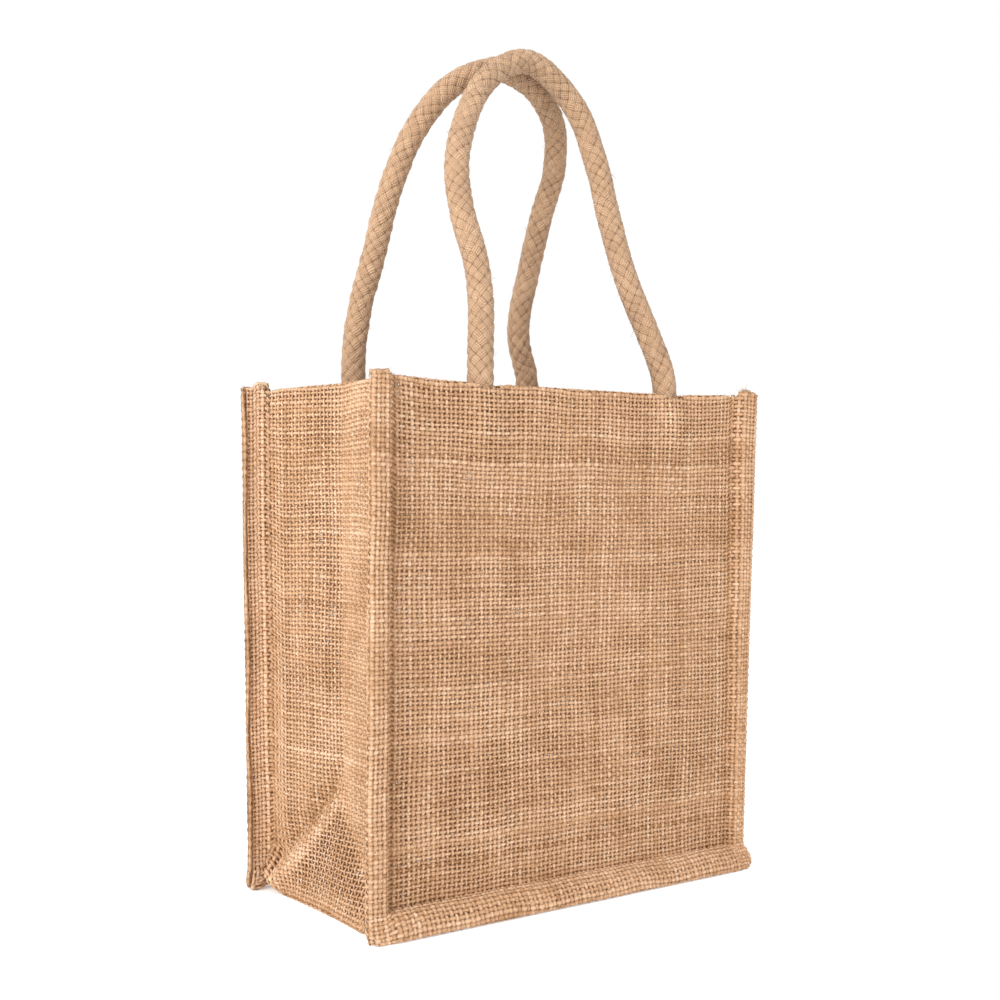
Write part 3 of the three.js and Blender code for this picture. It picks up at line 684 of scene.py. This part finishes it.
class Shade:
    """A value in a material's nodes, so that sums, differences and products are written as in Python."""

    def __init__(self, tree, socket):
        """A value from its node tree and the socket that gives it."""
        self.tree = tree
        self.socket = socket

    def node(self, kind, inputs=None, output=0, **settings):
        """A new node of a kind: its settings are set first, then its sockets get values or links."""
        made = self.tree.nodes.new(kind)
        for key, value in settings.items():
            setattr(made, key, value)
        for key, value in (inputs or {}).items():
            if isinstance(value, Shade):
                self.tree.links.new(value.socket, made.inputs[key])
            else:
                made.inputs[key].default_value = value
        return Shade(self.tree, made.outputs[output] if made.outputs else None)

    def maths(self, operation, first, second=0.0):
        """One sum on two values."""
        return self.node("ShaderNodeMath", {0: first, 1: second}, operation=operation)

    def __add__(self, other):
        return self.maths("ADD", self, other)

    def __radd__(self, other):
        return self.maths("ADD", other, self)

    def __sub__(self, other):
        return self.maths("SUBTRACT", self, other)

    def __rsub__(self, other):
        return self.maths("SUBTRACT", other, self)

    def __mul__(self, other):
        return self.maths("MULTIPLY", self, other)

    def cosine(self):
        """The cosine of this value."""
        return self.maths("COSINE", self)

    def part(self, axis):
        """One coordinate of a vector."""
        return self.node("ShaderNodeSeparateXYZ", {0: self}, axis)

    def over(self, low, high):
        """0 at low, 1 at high, and held in between."""
        return self.node("ShaderNodeMapRange", {0: self, 1: low, 2: high})

    def blend(self, first, second):
        """A mix of two colours by this value."""
        return self.node("ShaderNodeMix", {0: self, 6: first, 7: second}, 2, data_type="RGBA")

    def noise(self, scale, detail, roughness=0.5):
        """A soft random value between 0 and 1 at this place."""
        inputs = {"Vector": self, "Scale": scale, "Detail": detail, "Roughness": roughness}
        return self.node("ShaderNodeTexNoise", inputs)

    def mottled(self, *patterns):
        """This value with patterns added, each less its middle and by its weight."""
        total = self
        for pattern, weight in patterns:
            total = total + (pattern - 0.5) * weight
        return total


def shade_start(name):
    """A new material, and a first value on its tree from which the others are made."""
    material = bpy.data.materials.new(name)
    material.use_nodes = True
    tree = material.node_tree
    tree.nodes.clear()
    return material, Shade(tree, None)


def shade_end(start, inputs):
    """A skin with these inputs, joined to the material's output."""
    skin = start.node("ShaderNodeBsdfPrincipled", inputs)
    start.node("ShaderNodeOutputMaterial", {"Surface": skin})


def jute_start(name):
    """A new material, its first value, and what a jute finish starts from: yarn map, place on the bag and
    tone."""
    material, start = shade_start(name)
    yarn = start.node("ShaderNodeUVMap", uv_map="yarn_map")
    place = start.node("ShaderNodeTexCoord", output="Object")
    tone = start.node("ShaderNodeAttribute", output="Fac", attribute_name="tone")
    return material, start, yarn, place, tone


def jute_end(start, colours, level, flecks, fibres, height, roughness, bump, skin):
    """A jute finish from its patterns: the level runs through the colours dark, middle and light, flecks
    cover it with the fourth colour, and the fibres also vary the roughness."""
    dark, middle, light, fleck = colours
    low = level.over(*DARK_TO_MIDDLE).blend(dark, middle)
    high = level.over(*MIDDLE_TO_LIGHT).blend(low, light)
    relief = start.node("ShaderNodeBump", {**bump, "Height": height})
    # The emission colour is a painted warm glow, standing in for light coming through the cloth
    shade_end(start, {
        "Base Color": flecks.blend(high, fleck), "Roughness": roughness + (fibres - 0.5) * ROUGHNESS_SPREAD,
        "Normal": relief, "Emission Color": PAINTED_GLOW, **skin})


def yarn_material(name, colours, roughness, bump, painted_glow):
    """Spun jute: its tone runs from dark to light by yarn, with fine fibre streaks along it, soft patches
    over the whole bag and a few brown flecks. Painted glow is a little warm emission, painted light that
    stands in for light coming through the cloth."""
    material, start, yarn, place, tone = jute_start(name)
    along = start.node("ShaderNodeMapping", {"Vector": yarn, "Scale": (0.55, 3.0, 1)})
    twist = start.node("ShaderNodeMapping", {
        "Vector": yarn, "Rotation": (0, 0, 0.5), "Scale": (1.6, 2.2, 1)})
    strands = start.node("ShaderNodeTexWave", {
        "Vector": twist, "Scale": 0.6, "Distortion": 2.5, "Detail": 2.0}, "Fac")
    streaks = along.noise(1.0, 3.0, 0.6)
    patches, grains = place.noise(38.0, 3.0), place.noise(420.0, 1.0)
    level = tone.mottled((streaks, 1.1), (patches, 0.9), (grains, 0.7))
    flecks = grains.over(0.7, 0.76) * streaks.over(0.45, 0.6)
    height = strands * 0.6 + streaks * 0.8
    relief = {"Strength": bump, "Distance": 0.0004}
    skin = {"Specular IOR Level": 0.1, "Emission Strength": painted_glow}
    jute_end(start, colours, level, flecks, streaks, height, roughness, relief, skin)
    return material


def plait_material(name, colours, roughness, bump, painted_glow):
    """Plaited jute. The yarn map counts strands both ways; the product of its cosines says which way is on
    top, and each strand is a bundle of fine yarns side by side, with painted shade in the grooves between
    them, deeper in patches, and dark scratches along the fibres."""
    material, start, plait, place, tone = jute_start(name)
    bends = place.noise(260.0, 1.0)
    one, other = plait.part(0), plait.part(1)
    on_top = ((one * np.pi).cosine() * (other * np.pi).cosine()).over(-0.01, 0.01)
    across = other + (one - other) * on_top + (bends - 0.5) * 0.3
    along = one + (other - one) * on_top
    ridge = 0.5 - (across * (2 * np.pi * STRAND_YARNS)).cosine() * 0.5
    fibres = start.node("ShaderNodeCombineXYZ", {0: across * 26.0, 1: along * 5.0}).noise(1.0, 3.0)
    patches, grains = place.noise(55.0, 3.0), place.noise(520.0, 1.0)

    # Painted shade in the grooves between the fine yarns, deeper in patches
    painted_groove_shade = (ridge.over(0.0, 0.35) - 1.0) * (patches.over(0.35, 0.62) * 0.5 + 0.1)
    scratches = fibres.over(0.6, 0.68) * grains.over(0.5, 0.62) * 0.8
    level = (tone + painted_groove_shade).mottled((fibres, 0.7), (patches, 0.6), (grains, 0.4)) - scratches
    flecks = grains.over(0.72, 0.78) * patches.over(0.45, 0.6)
    height = ridge * 0.8 + fibres * 0.7
    relief = {"Strength": bump, "Distance": 0.0005}
    skin = {
        "Specular IOR Level": 0.25, "Sheen Weight": 0.12, "Sheen Roughness": 0.5, "Emission Strength": painted_glow}
    jute_end(start, colours, level, flecks, fibres, height, roughness, relief, skin)
    return material


def finish(kind):
    """The bag's finishes by name, each made once from the settings: colours dark, middle, light and fleck,
    then roughness, bump and painted glow."""
    known = bpy.data.materials.get(kind)
    if known:
        return known
    cloth, rope = bpy.context.scene.tote_cloth, bpy.context.scene.tote_rope
    make, colours, *rest = {
        "woven_jute": (yarn_material, (cloth.dark, cloth.middle, cloth.light, cloth.fleck), 0.88, 0.8, 0.045),
        "plaited_jute": (plait_material, (rope.dark, rope.middle, rope.light, cloth.fleck), 0.9, 0.9, 0.0),
        "raw_jute": (yarn_material, (cloth.middle, cloth.light, rope.raw, cloth.light), 0.95, 0.4, 0.0),
    }[kind]
    return make(kind, [(*colour, 1.0) for colour in colours], *rest)


def spread(length, pitch, start=0.0):
    """Evenly spaced yarn places over a length, about a pitch apart."""
    count = int(round(length / pitch))
    return start + (np.arange(count) + 0.5) * length / count


def panel_cloth(panel, name, seed, fine):
    """A woven panel: warps upright and wefts across, over its turned allowances, face, rim fold and hem."""
    sizes = bpy.context.scene.tote_cloth
    wrap = np.pi * WRAP_RADIUS + WRAP_RETURN - WRAP_RADIUS
    width = FLAT_WIDTH + 2 * (ALLOWANCE + wrap)
    length = wrap + ALLOWANCE + FACE_HEIGHT + FOLD_LENGTH + HEM_DEPTH
    columns = spread(width, sizes.warp_pitch * PER_METRE, -ALLOWANCE - wrap)
    rows = spread(length, sizes.weft_pitch * PER_METRE, -ALLOWANCE - wrap)
    across, along = crossings(columns, rows, seed, sizes)

    def is_cloth(a, b):
        """Inside the rounded cut, up to the rim, and past it where the hem is turned in beside the ropes."""
        past = past_seams(a, FLAT_WIDTH)
        x = seam_x(LEFT, RIM_HEIGHT) + a / FLAT_WIDTH * WIDTH_AT_RIM
        over_rope = np.zeros(a.shape, bool)
        for rope_end in panel["rope_ends"]:
            over_rope |= np.abs(x - rope_end - SLIT_SHIFT) < ROPE_RADIUS - SLIT_INSIDE
        folding = (b > FACE_HEIGHT) & (b < FACE_HEIGHT + FOLD_LENGTH)
        corner = ALLOWANCE - WRAP_CORNER
        rounded = np.hypot(np.maximum(past - corner, 0), np.maximum(-b - corner, 0)) < WRAP_CORNER + wrap
        half_fold = (past < 0) & (b < FACE_HEIGHT + FOLD_LENGTH / 2)
        top = FACE_HEIGHT + np.where(past > 0, ALLOWANCE_OVER, FACE_OVER)
        hemmed = past < -HEM_INSET
        return rounded & ((b < top) | half_fold & ~over_rope | (hemmed & ~(folding & over_rope)))

    def looseness(a, b, kind):
        """How wide the yarns are in each place, and how much painted shade darkens them."""
        past = past_seams(a, FLAT_WIDTH)
        dense = DENSE_ALLOWANCE * rise(np.maximum(past, -b), DENSE_FROM, DENSE_EASE)
        dense = dense + (DENSE_BACK if panel["face"] == BACK else 0)
        loose = waved(1, a, b, seed + 21, *PANEL_PATCHES) + dense - OPEN_SEAM * hill(a, *OPEN_SEAM_AT)
        at_seam = hill(np.abs(past), *SEAM_AT) * (b > SEAM_FOOT)
        loose = loose * (1 - SEAM_THIN * at_seam * (kind == 0))
        at_fold = np.abs(b - FACE_HEIGHT - FOLD_LENGTH / 2) < FOLD_LENGTH
        loose = loose + WIDER_AT_FOLD[kind] * at_fold
        # Yarns along the seams get painted shade
        return np.where(past > ALLOWANCE - EDGE_BAND, WIDE_AT_EDGE[kind], loose), SEAM_PAINTED_SHADE * at_seam

    surface = partial(wrapped_panel, panel)
    warp, weft = weave(surface, across, along, 0, is_cloth, looseness, fine, seed, sizes)
    jute = finish("woven_jute")
    wefts = piece(name + "_weft", weft, jute, [name])
    warps = piece(name + "_warp", warp, jute, [name])
    flat = (width * MM, length * MM)


def gusset_cloth(seed):
    """The woven gusset strip: warps along it and wefts across, with finer steps on the left side, which is
    seen close."""
    sizes = bpy.context.scene.tote_cloth
    width = GUSSET_WIDTH + 2 * GUSSET_ALLOWANCE
    columns = spread(width, sizes.warp_pitch * PER_METRE, -GUSSET_ALLOWANCE)
    rows = spread(STRIP_LENGTH, sizes.weft_pitch * PER_METRE)
    across, along = crossings(columns, rows, seed, sizes)
    middle = len(rows) // 2

    def is_cloth(a, b):
        """The whole strip below the rim's fold, and between the seams the fold and the hem."""
        past = past_seams(a, GUSSET_WIDTH)
        from_rim = np.minimum(b, STRIP_LENGTH - b)
        half_fold = (past < CUT_SLACK) & (from_rim > STRIP_PARTS[1] + FOLD_LENGTH / 2)
        return (from_rim > STRIP_PARTS[2]) | (past < -HEM_INSET) | half_fold

    def looseness(a, b, _):
        """How wide the yarns are in each place, and the painted shade that darkens them, below 0 where
        painted light makes them paler.
        """
        past = past_seams(a, GUSSET_WIDTH)
        up = np.abs(b - STRIP_PARTS[3])
        over_edge = up - triangle_edge(np.clip(a / GUSSET_WIDTH, 0, 1))
        band = hill(a, *BAND_ACROSS) * (0.5 + 0.5 * hill(up, *BAND_UP))
        front_half = rise(a, *FRONT_FROM) * rise(a, *FRONT_TO) * rise(up, *FRONT_UP)
        inside = rise(over_edge, *INSIDE_EDGE) * rise(up, *INSIDE_UP) * rise(a, *INSIDE_ACROSS)
        # The ridge's yarns are denser and get painted light
        ridge = hill(over_edge, *RIDGE_UP) * rise(a, *RIDGE_FROM) * rise(a, *RIDGE_TO)
        recess = hill(over_edge, *RECESS_UP) * rise(a, *RECESS_FROM)
        seams = ease(1 - np.abs(past) / SEAMS_HALF)
        loose = waved(1, a, b, seed + 21, *GUSSET_PATCHES) - BAND_OPEN * band + FRONT_DENSE * front_half
        loose = loose - INSIDE_OPEN * inside + RIDGE_DENSE_AND_PAINTED_LIGHT * ridge
        loose = loose + SEAMS_DENSE * seams + RIGHT_DENSE * (b > STRIP_LENGTH / 2)
        # Painted shade in the recess and along the seams, painted light on the ridge
        painted_shading = RECESS_PAINTED_SHADE * recess - RIDGE_DENSE_AND_PAINTED_LIGHT * ridge + SEAMS_PAINTED_SHADE * seams
        # The allowances get painted light
        return loose, painted_shading - ALLOWANCE_PAINTED_LIGHT * ease(past / ALLOWANCE_EASE)

    sides = []
    for fine, part in ((True, slice(0, middle + 1)), (False, slice(middle, None))):
        sides.append(weave(on_gusset, across[:, part], along[:, part], part.start, is_cloth, looseness, fine,
                           seed, sizes))
    warp, weft = joined([side[0] for side in sides]), joined([side[1] for side in sides])
    jute = finish("woven_jute")
    warps = piece("gusset_warp", warp, jute, ["gusset"])
    wefts = piece("gusset_weft", weft, jute, ["gusset"])


def smooth_route(points, steps):
    """A smooth curve through points, as evenly spaced places on it and their distances along it: cubic
    stretches between knots spaced by the root of their distance, each knot's slope from its neighbours."""
    points = np.asarray(points, float)
    ends = np.concatenate([2 * points[:1] - points[1:2], points, 2 * points[-1:] - points[-2:-1]])
    gaps = np.sqrt(np.linalg.norm(np.diff(ends, axis=0), axis=1))[:, None]
    rises = np.diff(ends, axis=0) / gaps
    slopes = rises[:-1] - (ends[2:] - ends[:-2]) / (gaps[:-1] + gaps[1:]) + rises[1:]
    place = np.linspace(0, len(points) - 1 - 1e-9, 4000)
    k = place.astype(int)
    t = (place - k)[:, None]
    h = gaps[1:-1][k]
    curve = ((1 + 2 * t) * (1 - t) ** 2 * points[k] + t * (1 - t) ** 2 * h * slopes[k]
             + t * t * (3 - 2 * t) * points[k + 1] + t * t * (t - 1) * h * slopes[k + 1])
    length = np.concatenate([[0], np.linalg.norm(np.diff(curve, axis=0), axis=1).cumsum()])
    even = np.linspace(0, length[-1], steps(length[-1]))
    return np.stack([np.interp(even, length, curve[:, axis]) for axis in range(3)], axis=-1), even


def rope_handle(name, route, seed):
    """A plaited rope: a tube whose grid runs along its strands, which wind both ways. Where the strand that
    winds one way lies over the other, the tube swells by the product of two cosines, and pits where four
    strands meet. The grid's two coordinates, in strands, become the yarn map."""
    rng = np.random.default_rng(seed)
    n, m = ROPE_STRANDS, ROPE_STEPS
    step = ROPE_LAY / (2 * n * m)
    centre, length = smooth_route(route, lambda whole: int(round(whole / step)) + 1)
    ahead = unit(np.gradient(centre, axis=0))
    flat_of_loop = unit(np.cross(centre[len(centre) // 3] - centre[0], centre[-1] - centre[0]))
    first = unit(np.cross(ahead, flat_of_loop))
    second = np.cross(ahead, first)

    rows = np.arange(len(centre))[:, None]
    columns = np.arange(n * m)[None, :]
    around = 2 * columns + rows % 2
    alpha, beta = (around - rows) / (2 * m), (around + rows) / (2 * m)
    angle = np.pi * around / (n * m) + 0 * alpha
    level = length[:, None] + 0 * alpha
    fold = np.cos(np.pi * alpha) * np.cos(np.pi * beta)
    meeting = np.abs(np.sin(np.pi * alpha) * np.sin(np.pi * beta))
    bend_a, bend_b = level + ROPE_WAVE_RADIUS * np.cos(angle), ROPE_WAVE_RADIUS * np.sin(angle)
    uneven = waved(1, bend_a, bend_b, seed + 1, UNEVEN_RELIEF)
    radius = ROPE_RADIUS - ROPE_RELIEF + ROPE_RELIEF * np.abs(fold) ** CROWN_POWER * uneven
    radius = (radius - ROPE_PIT * meeting ** PIT_POWER) * waved(1, level, 0 * level, seed + 2, UNEVEN_GIRTH)
    radius = np.minimum(radius, ROPE_RADIUS + ROPE_SWELL)
    angle = waved(angle, bend_a, bend_b, seed + 3, UNEVEN_AROUND)
    from_end = np.minimum(level, length[-1] - level)
    slide = waved(0, bend_a, bend_b, seed + 4, UNEVEN_ALONG) * ease(from_end / SLIDE_ENDS)
    points = centre[:, None] + ahead[:, None] * slide[..., None]
    points = points + first[:, None] * (np.cos(angle) * radius)[..., None]
    points = points + second[:, None] * (np.sin(angle) * radius)[..., None]

    is_first_way = (np.round(alpha) + np.round(beta)) % 2 == 0
    strand = np.where(is_first_way, np.round(alpha) % n, n + np.round(beta) % n).astype(int)
    tone = STRAND_TONE + STRAND_SPREAD * rng.normal(0, 1, 2 * n)[strand]
    tone = waved(tone, level, strand * STRAND_APART, seed + 5, STRAND_WAVE)
    # Painted shade in the joints between the strands and in the pits where four strands meet
    joints = np.clip(waved(0.5, bend_a, bend_b, seed + 6, JOINT_WAVE), 0, 1)
    dark = JOINT_PAINTED_SHADE * (1 - np.abs(fold)) ** JOINT_POWER + PIT_PAINTED_SHADE * meeting ** PIT_SHADE_POWER
    tone = tone - dark * joints

    rings, wide = points.shape[:2]
    middle = np.arange(1, rings - 1)[:, None]
    odd = middle % 2
    column = columns + 0 * middle
    left, right = (column - odd) % wide, (column + 1 - odd) % wide
    walls = np.stack([(middle - 1) * wide + column, middle * wide + right,
                      (middle + 1) * wide + column, middle * wide + left], axis=-1).reshape(-1, 4)
    centre_place = 2 * column + (middle + 1) % 2
    low, high = (centre_place - middle - 1) // 2, (centre_place - middle + 1) // 2
    near, far = (centre_place + middle - 1) // 2, (centre_place + middle + 1) // 2
    map_a = np.stack([high, high, low, low], axis=-1) / m
    map_b = np.stack([near, far, far, near], axis=-1) / m
    start = np.stack([columns[0], wide + columns[0]], axis=-1).reshape(-1)
    zig = (rings - 2) * wide + columns[0], (rings - 1) * wide + columns[0]
    end = np.stack(zig if rings % 2 == 0 else (zig[1], zig[0]), axis=-1).reshape(-1)
    shape = {
        "points": points.reshape(-1, 3),
        "walls": walls,
        "caps": np.stack([start[::-1], end]),
        "wall_map": np.stack([map_a, map_b], axis=-1).reshape(-1, 4, 2),
        "tone": tone.reshape(-1),
    }
    piece(name, shape, finish("plaited_jute"), [name])


def fibres(starts, headings, lengths, seed, half=FIBRE_HALF):
    """Loose fibres: thin tubes that leave their starts along a heading and bend away more and more, by the
    square of the distance."""
    rng = np.random.default_rng(seed)
    share = np.linspace(0, 1, 5)[None, :, None]
    bend = rng.normal(0, FIBRE_BEND, starts.shape)[:, None]
    points = starts[:, None] + (unit(headings)[:, None] * share + bend * share ** 2) * lengths[:, None, None]
    up = unit(rng.normal(0, 1, points.shape))
    thick = (half * (1 - FIBRE_TAPER * share[..., 0])) * np.ones(points.shape[:2])
    tone = rng.normal(FIBRE_TONE, FIBRE_TONE_SPREAD, len(starts))[:, None] * np.ones(points.shape[:2])
    return tubes(points, up, thick, thick, tone)


def cloth_fuzz(seed):
    """Fibres that stand up here and there from both panels and both sides of the gusset."""
    rng = np.random.default_rng(seed)
    spots = []
    for surface, across, along, count, way in (
            (partial(on_panel, FRONT_PANEL), *PANEL_SPAN, 190, 1),
            (partial(on_panel, BACK_PANEL), *PANEL_SPAN, 110, -1),
            (on_gusset, *LEFT_SPAN, 110, 1), (on_gusset, *RIGHT_SPAN, 60, 1)):
        a, b = rng.uniform(*across, count), rng.uniform(*along, count)
        normal = slope(surface, a, b) * way
        spots.append((surface(a, b) + normal * CLOTH / 3, normal))
    starts, headings = (np.concatenate([spot[k] for spot in spots]) for k in (0, 1))
    headings = headings * CLOTH_FIBRE_LEAN + rng.normal(0, CLOTH_FIBRE_STRAY, headings.shape)
    shape = fibres(starts, headings, rng.uniform(*CLOTH_FIBRES, len(starts)), seed)
    piece("cloth_fuzz", shape, finish("woven_jute"))


def raw_tufts(seed):
    """Pale raw fibre that stands up from the tops of the gusset's allowances, most at the front right."""
    rng = np.random.default_rng(seed)
    starts, headings = [], []
    for panel, edge, place, wide, count in RAW_TUFTS:
        beyond = place + rng.uniform(-wide / 2, wide / 2, count)
        across = -beyond if edge == LEFT else FLAT_WIDTH + beyond
        up = FACE_HEIGHT + TUFTS[panel["face"]][edge][0] / 4
        root = behind_panel(panel, across, np.full(count, up))
        starts.append(root + rng.normal(0, TUFT_ROOT_STRAY, (count, 3)))
        aside = [rng.normal(0, TUFT_FIBRE_STRAY, count) for _ in range(2)]
        headings.append(stack(*aside, np.ones(count)))
    starts, headings = np.concatenate(starts), np.concatenate(headings)
    shape = fibres(starts, headings, rng.uniform(*TUFT_FIBRES, len(starts)), seed, TUFT_FIBRE_HALF)
    piece("raw_tufts", shape, finish("raw_jute"))


def rope_fuzz(name, route, seed):
    """Short fibre ends that stand off a rope."""
    rng = np.random.default_rng(seed)
    centre, _ = smooth_route(route, lambda whole: int(whole) + 1)
    ahead = unit(np.gradient(centre, axis=0))
    picks = rng.integers(ROPE_FIBRE_ENDS, len(centre) - ROPE_FIBRE_ENDS, ROPE_FIBRE_COUNT)
    out = unit(np.cross(ahead[picks], rng.normal(0, 1, (len(picks), 3))))
    starts = centre[picks] + out * (ROPE_RADIUS - ROPE_FIBRE_ROOT)
    headings = out + rng.normal(0, FIBRE_BEND, out.shape)
    shape = fibres(starts, headings, rng.uniform(*ROPE_FIBRES, len(picks)), seed)
    piece(name, shape, finish("plaited_jute"))


def backdrop_material(name, colour):
    """A plain matt floor with a very faint unevenness, bright as a lit studio sweep."""
    material, start = shade_start(name)
    soft = start.node("ShaderNodeTexCoord", output="Object").noise(3.0, 2.0)
    paler = [min(1.0, part * 1.01) for part in colour]
    shade_end(start, {
        "Base Color": soft.blend((*colour, 1.0), (*paler, 1.0)), "Roughness": 0.9,
        "Emission Color": (1.0, 1.0, 1.0, 1.0), "Emission Strength": 0.3})
    return material


def linked(name, data):
    """A new object with this data, put into the scene."""
    made = bpy.data.objects.new(name, data)
    bpy.context.scene.collection.objects.link(made)
    return made


def soft_light(name, power, place, size, colour):
    """A large square lamp at a place, turned to the bag, all in metres."""
    lamp = bpy.data.lights.new(name, "AREA")
    lamp.shape = "SQUARE"
    lamp.size = size
    lamp.energy = power
    lamp.color = colour
    made = linked(name, lamp)
    made.location = place
    made.rotation_euler = (Vector(LAMP_AIM) - Vector(place)).to_track_quat("-Z", "Y").to_euler()


def colour_setting(name, description, default):
    """A property that holds a colour."""
    return FloatVectorProperty(name=name, description=description, default=default, size=3, subtype="COLOR")


def length_setting(name, description, default):
    """A property that holds a length in metres."""
    return FloatProperty(name=name, description=description, default=default, unit="LENGTH")


def share_setting(name, description, default):
    """A property that holds a share of something."""
    return FloatProperty(name=name, description=description, default=default, subtype="FACTOR")


class ToteCloth(bpy.types.PropertyGroup):
    """Sizes and colours of the woven jute."""

    warp_pitch: length_setting("Warp pitch", "From one warp yarn to the next", 0.00257)
    weft_pitch: length_setting("Weft pitch", "From one weft yarn to the next", 0.00203)
    warp_width: length_setting("Warp width", "Width of a warp yarn", 0.00190)
    weft_width: length_setting("Weft width", "Width of a weft yarn", 0.00160)
    yarn_depth: length_setting("Yarn depth", "Thickness of a pressed yarn", 0.00070)
    yarn_stray: length_setting("Stray", "How far a yarn lies off its even place", 0.00012)
    plateau: share_setting("Flat stretch", "Share of the pitch that a yarn stays level each way", 0.17)
    # Painted highlight: how much paler a yarn is made where it lies on top
    painted_crown_highlight: share_setting("Crowns", "How much paler a yarn is where it lies on top", 0.06)
    unevenness: share_setting("Unevenness", "How much the yarns differ in thickness", 0.12)
    dark: colour_setting("Dark", "Darkest jute fibre", (0.40, 0.215, 0.105))
    middle: colour_setting("Middle", "Most of the jute", (0.63, 0.39, 0.232))
    light: colour_setting("Light", "Palest jute fibre", (0.84, 0.60, 0.415))
    fleck: colour_setting("Fleck", "Bits of bark", (0.30, 0.13, 0.05))
    seed: IntProperty(name="Seed", description="Changes how the yarns stray", default=7)


class ToteRope(bpy.types.PropertyGroup):
    """Colours of the rope handles."""

    # Dark is the colour that the painted shade between the strands and in the grooves reaches
    dark: colour_setting("Dark", "Between the strands", (0.27, 0.155, 0.085))
    middle: colour_setting("Middle", "Most of the rope", (0.49, 0.311, 0.188))
    light: colour_setting("Light", "Palest strands", (0.64, 0.445, 0.295))
    raw: colour_setting("Raw", "Loose pale fibre", (0.86, 0.72, 0.55))


class ToteStage(bpy.types.PropertyGroup):
    """The studio's floor and light."""

    floor: colour_setting("Floor", "Colour of the floor", (0.9, 0.9, 0.9))
    key_power: FloatProperty(
        name="Key light", description="Power of the large lamp", default=26.0, unit="POWER")
    fill_power: FloatProperty(
        name="Fill light", description="Power of the second lamp", default=5.0, unit="POWER")
    sky: FloatProperty(name="Sky", description="Brightness of the white surroundings", default=1.0)


class MakeStage(bpy.types.Operator):
    """Adds the camera, the pale floor and the soft lamps"""

    bl_idname = "tote.stage"
    bl_label = "Studio"

    def execute(self, context):
        stage = context.scene.tote_stage
        view = bpy.data.cameras.new("camera")
        view.lens = CAMERA_LENS
        view.sensor_width = CAMERA_SENSOR
        view.shift_y = CAMERA_SHIFT
        view.clip_end = CAMERA_REACH
        camera = linked("camera", view)
        camera.location = [value * MM for value in CAMERA_PLACE]
        camera.rotation_euler = (np.pi / 2, 0, -np.arctan2(*CAMERA_HEADING))
        context.scene.camera = camera

        far = FLOOR_HALF
        mesh = bpy.data.meshes.new("floor")
        mesh.from_pydata([(-far, -far, 0), (far, -far, 0), (far, far, 0), (-far, far, 0)], [], [(0, 1, 2, 3)])
        mesh.materials.append(backdrop_material("pale_floor", tuple(stage.floor)))
        floor = linked("floor", mesh)
        floor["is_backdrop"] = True

        world = bpy.data.worlds.new("white_surroundings")
        world.use_nodes = True
        sky = world.node_tree.nodes["Background"].inputs
        sky["Color"].default_value = (1, 1, 1, 1)
        sky["Strength"].default_value = stage.sky
        context.scene.world = world
        soft_light("key_light", stage.key_power, *KEY_LAMP)
        soft_light("fill_light", stage.fill_power, *FILL_LAMP)
        context.scene.view_settings.view_transform = "Standard"
        return {"FINISHED"}


class MakeFrontPanel(bpy.types.Operator):
    """Weaves the front panel with its allowances and hem"""

    bl_idname = "tote.front_panel"
    bl_label = "Front panel"

    def execute(self, context):
        panel_cloth(FRONT_PANEL, "front_panel", context.scene.tote_cloth.seed, True)
        return {"FINISHED"}


class MakeBackPanel(bpy.types.Operator):
    """Weaves the back panel with its allowances and hem"""

    bl_idname = "tote.back_panel"
    bl_label = "Back panel"

    def execute(self, context):
        panel_cloth(BACK_PANEL, "back_panel", context.scene.tote_cloth.seed + 100, False)
        return {"FINISHED"}


class MakeGusset(bpy.types.Operator):
    """Weaves the gusset: one strip down the left side, under the bag and up the right side"""

    bl_idname = "tote.gusset"
    bl_label = "Gusset"

    def execute(self, context):
        gusset_cloth(context.scene.tote_cloth.seed + 200)
        return {"FINISHED"}


class MakeHandles(bpy.types.Operator):
    """Plaits the two rope handles"""

    bl_idname = "tote.handles"
    bl_label = "Rope handles"

    def execute(self, context):
        rope_handle("rope_handle_front", FRONT_ROUTE, 41)
        rope_handle("rope_handle_back", BACK_ROUTE, 43)
        return {"FINISHED"}


class MakeFibres(bpy.types.Operator):
    """Adds loose fibres on the cloth and the ropes, and raw tufts at the tops of the seams"""

    bl_idname = "tote.fibres"
    bl_label = "Loose fibres"

    def execute(self, context):
        cloth_fuzz(51)
        raw_tufts(53)
        rope_fuzz("rope_fuzz_front", FRONT_ROUTE, 57)
        rope_fuzz("rope_fuzz_back", BACK_ROUTE, 59)
        return {"FINISHED"}


OPERATORS = (MakeStage, MakeGusset, MakeFrontPanel, MakeBackPanel, MakeHandles, MakeFibres)
GROUPS = {"tote_cloth": ToteCloth, "tote_rope": ToteRope, "tote_stage": ToteStage}


class ToteSidebar(bpy.types.Panel):
    """Lists the bag's pieces in the sidebar"""

    bl_idname = "VIEW3D_PT_tote_bag"
    bl_label = "Tote bag"
    bl_space_type = "VIEW_3D"
    bl_region_type = "UI"
    bl_category = "Tote bag"

    def draw(self, context):
        for operator in OPERATORS:
            self.layout.operator(operator.bl_idname)
        for group, kind in GROUPS.items():
            for name in kind.__annotations__:
                self.layout.prop(getattr(context.scene, group), name)


def register():
    """Makes the classes known, and puts the settings on the scene."""
    for kind in (*GROUPS.values(), *OPERATORS, ToteSidebar):
        bpy.utils.register_class(kind)
    for name, kind in GROUPS.items():
        setattr(bpy.types.Scene, name, PointerProperty(type=kind))


def unregister():
    """Takes the settings off the scene, and the classes away."""
    for name in GROUPS:
        delattr(bpy.types.Scene, name)
    for kind in reversed((*GROUPS.values(), *OPERATORS, ToteSidebar)):
        bpy.utils.unregister_class(kind)


def main():
    """Makes the bag and its studio."""
    register()
    for operator in OPERATORS:
        group, name = operator.bl_idname.split(".")
        getattr(getattr(bpy.ops, group), name)()
    boxes = {"solids": SOLIDS_BOX, "made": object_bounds()}
    plain = {key: [[float(value) for value in corner] for corner in box] for key, box in boxes.items()}


if __name__ == "__main__":
    main()
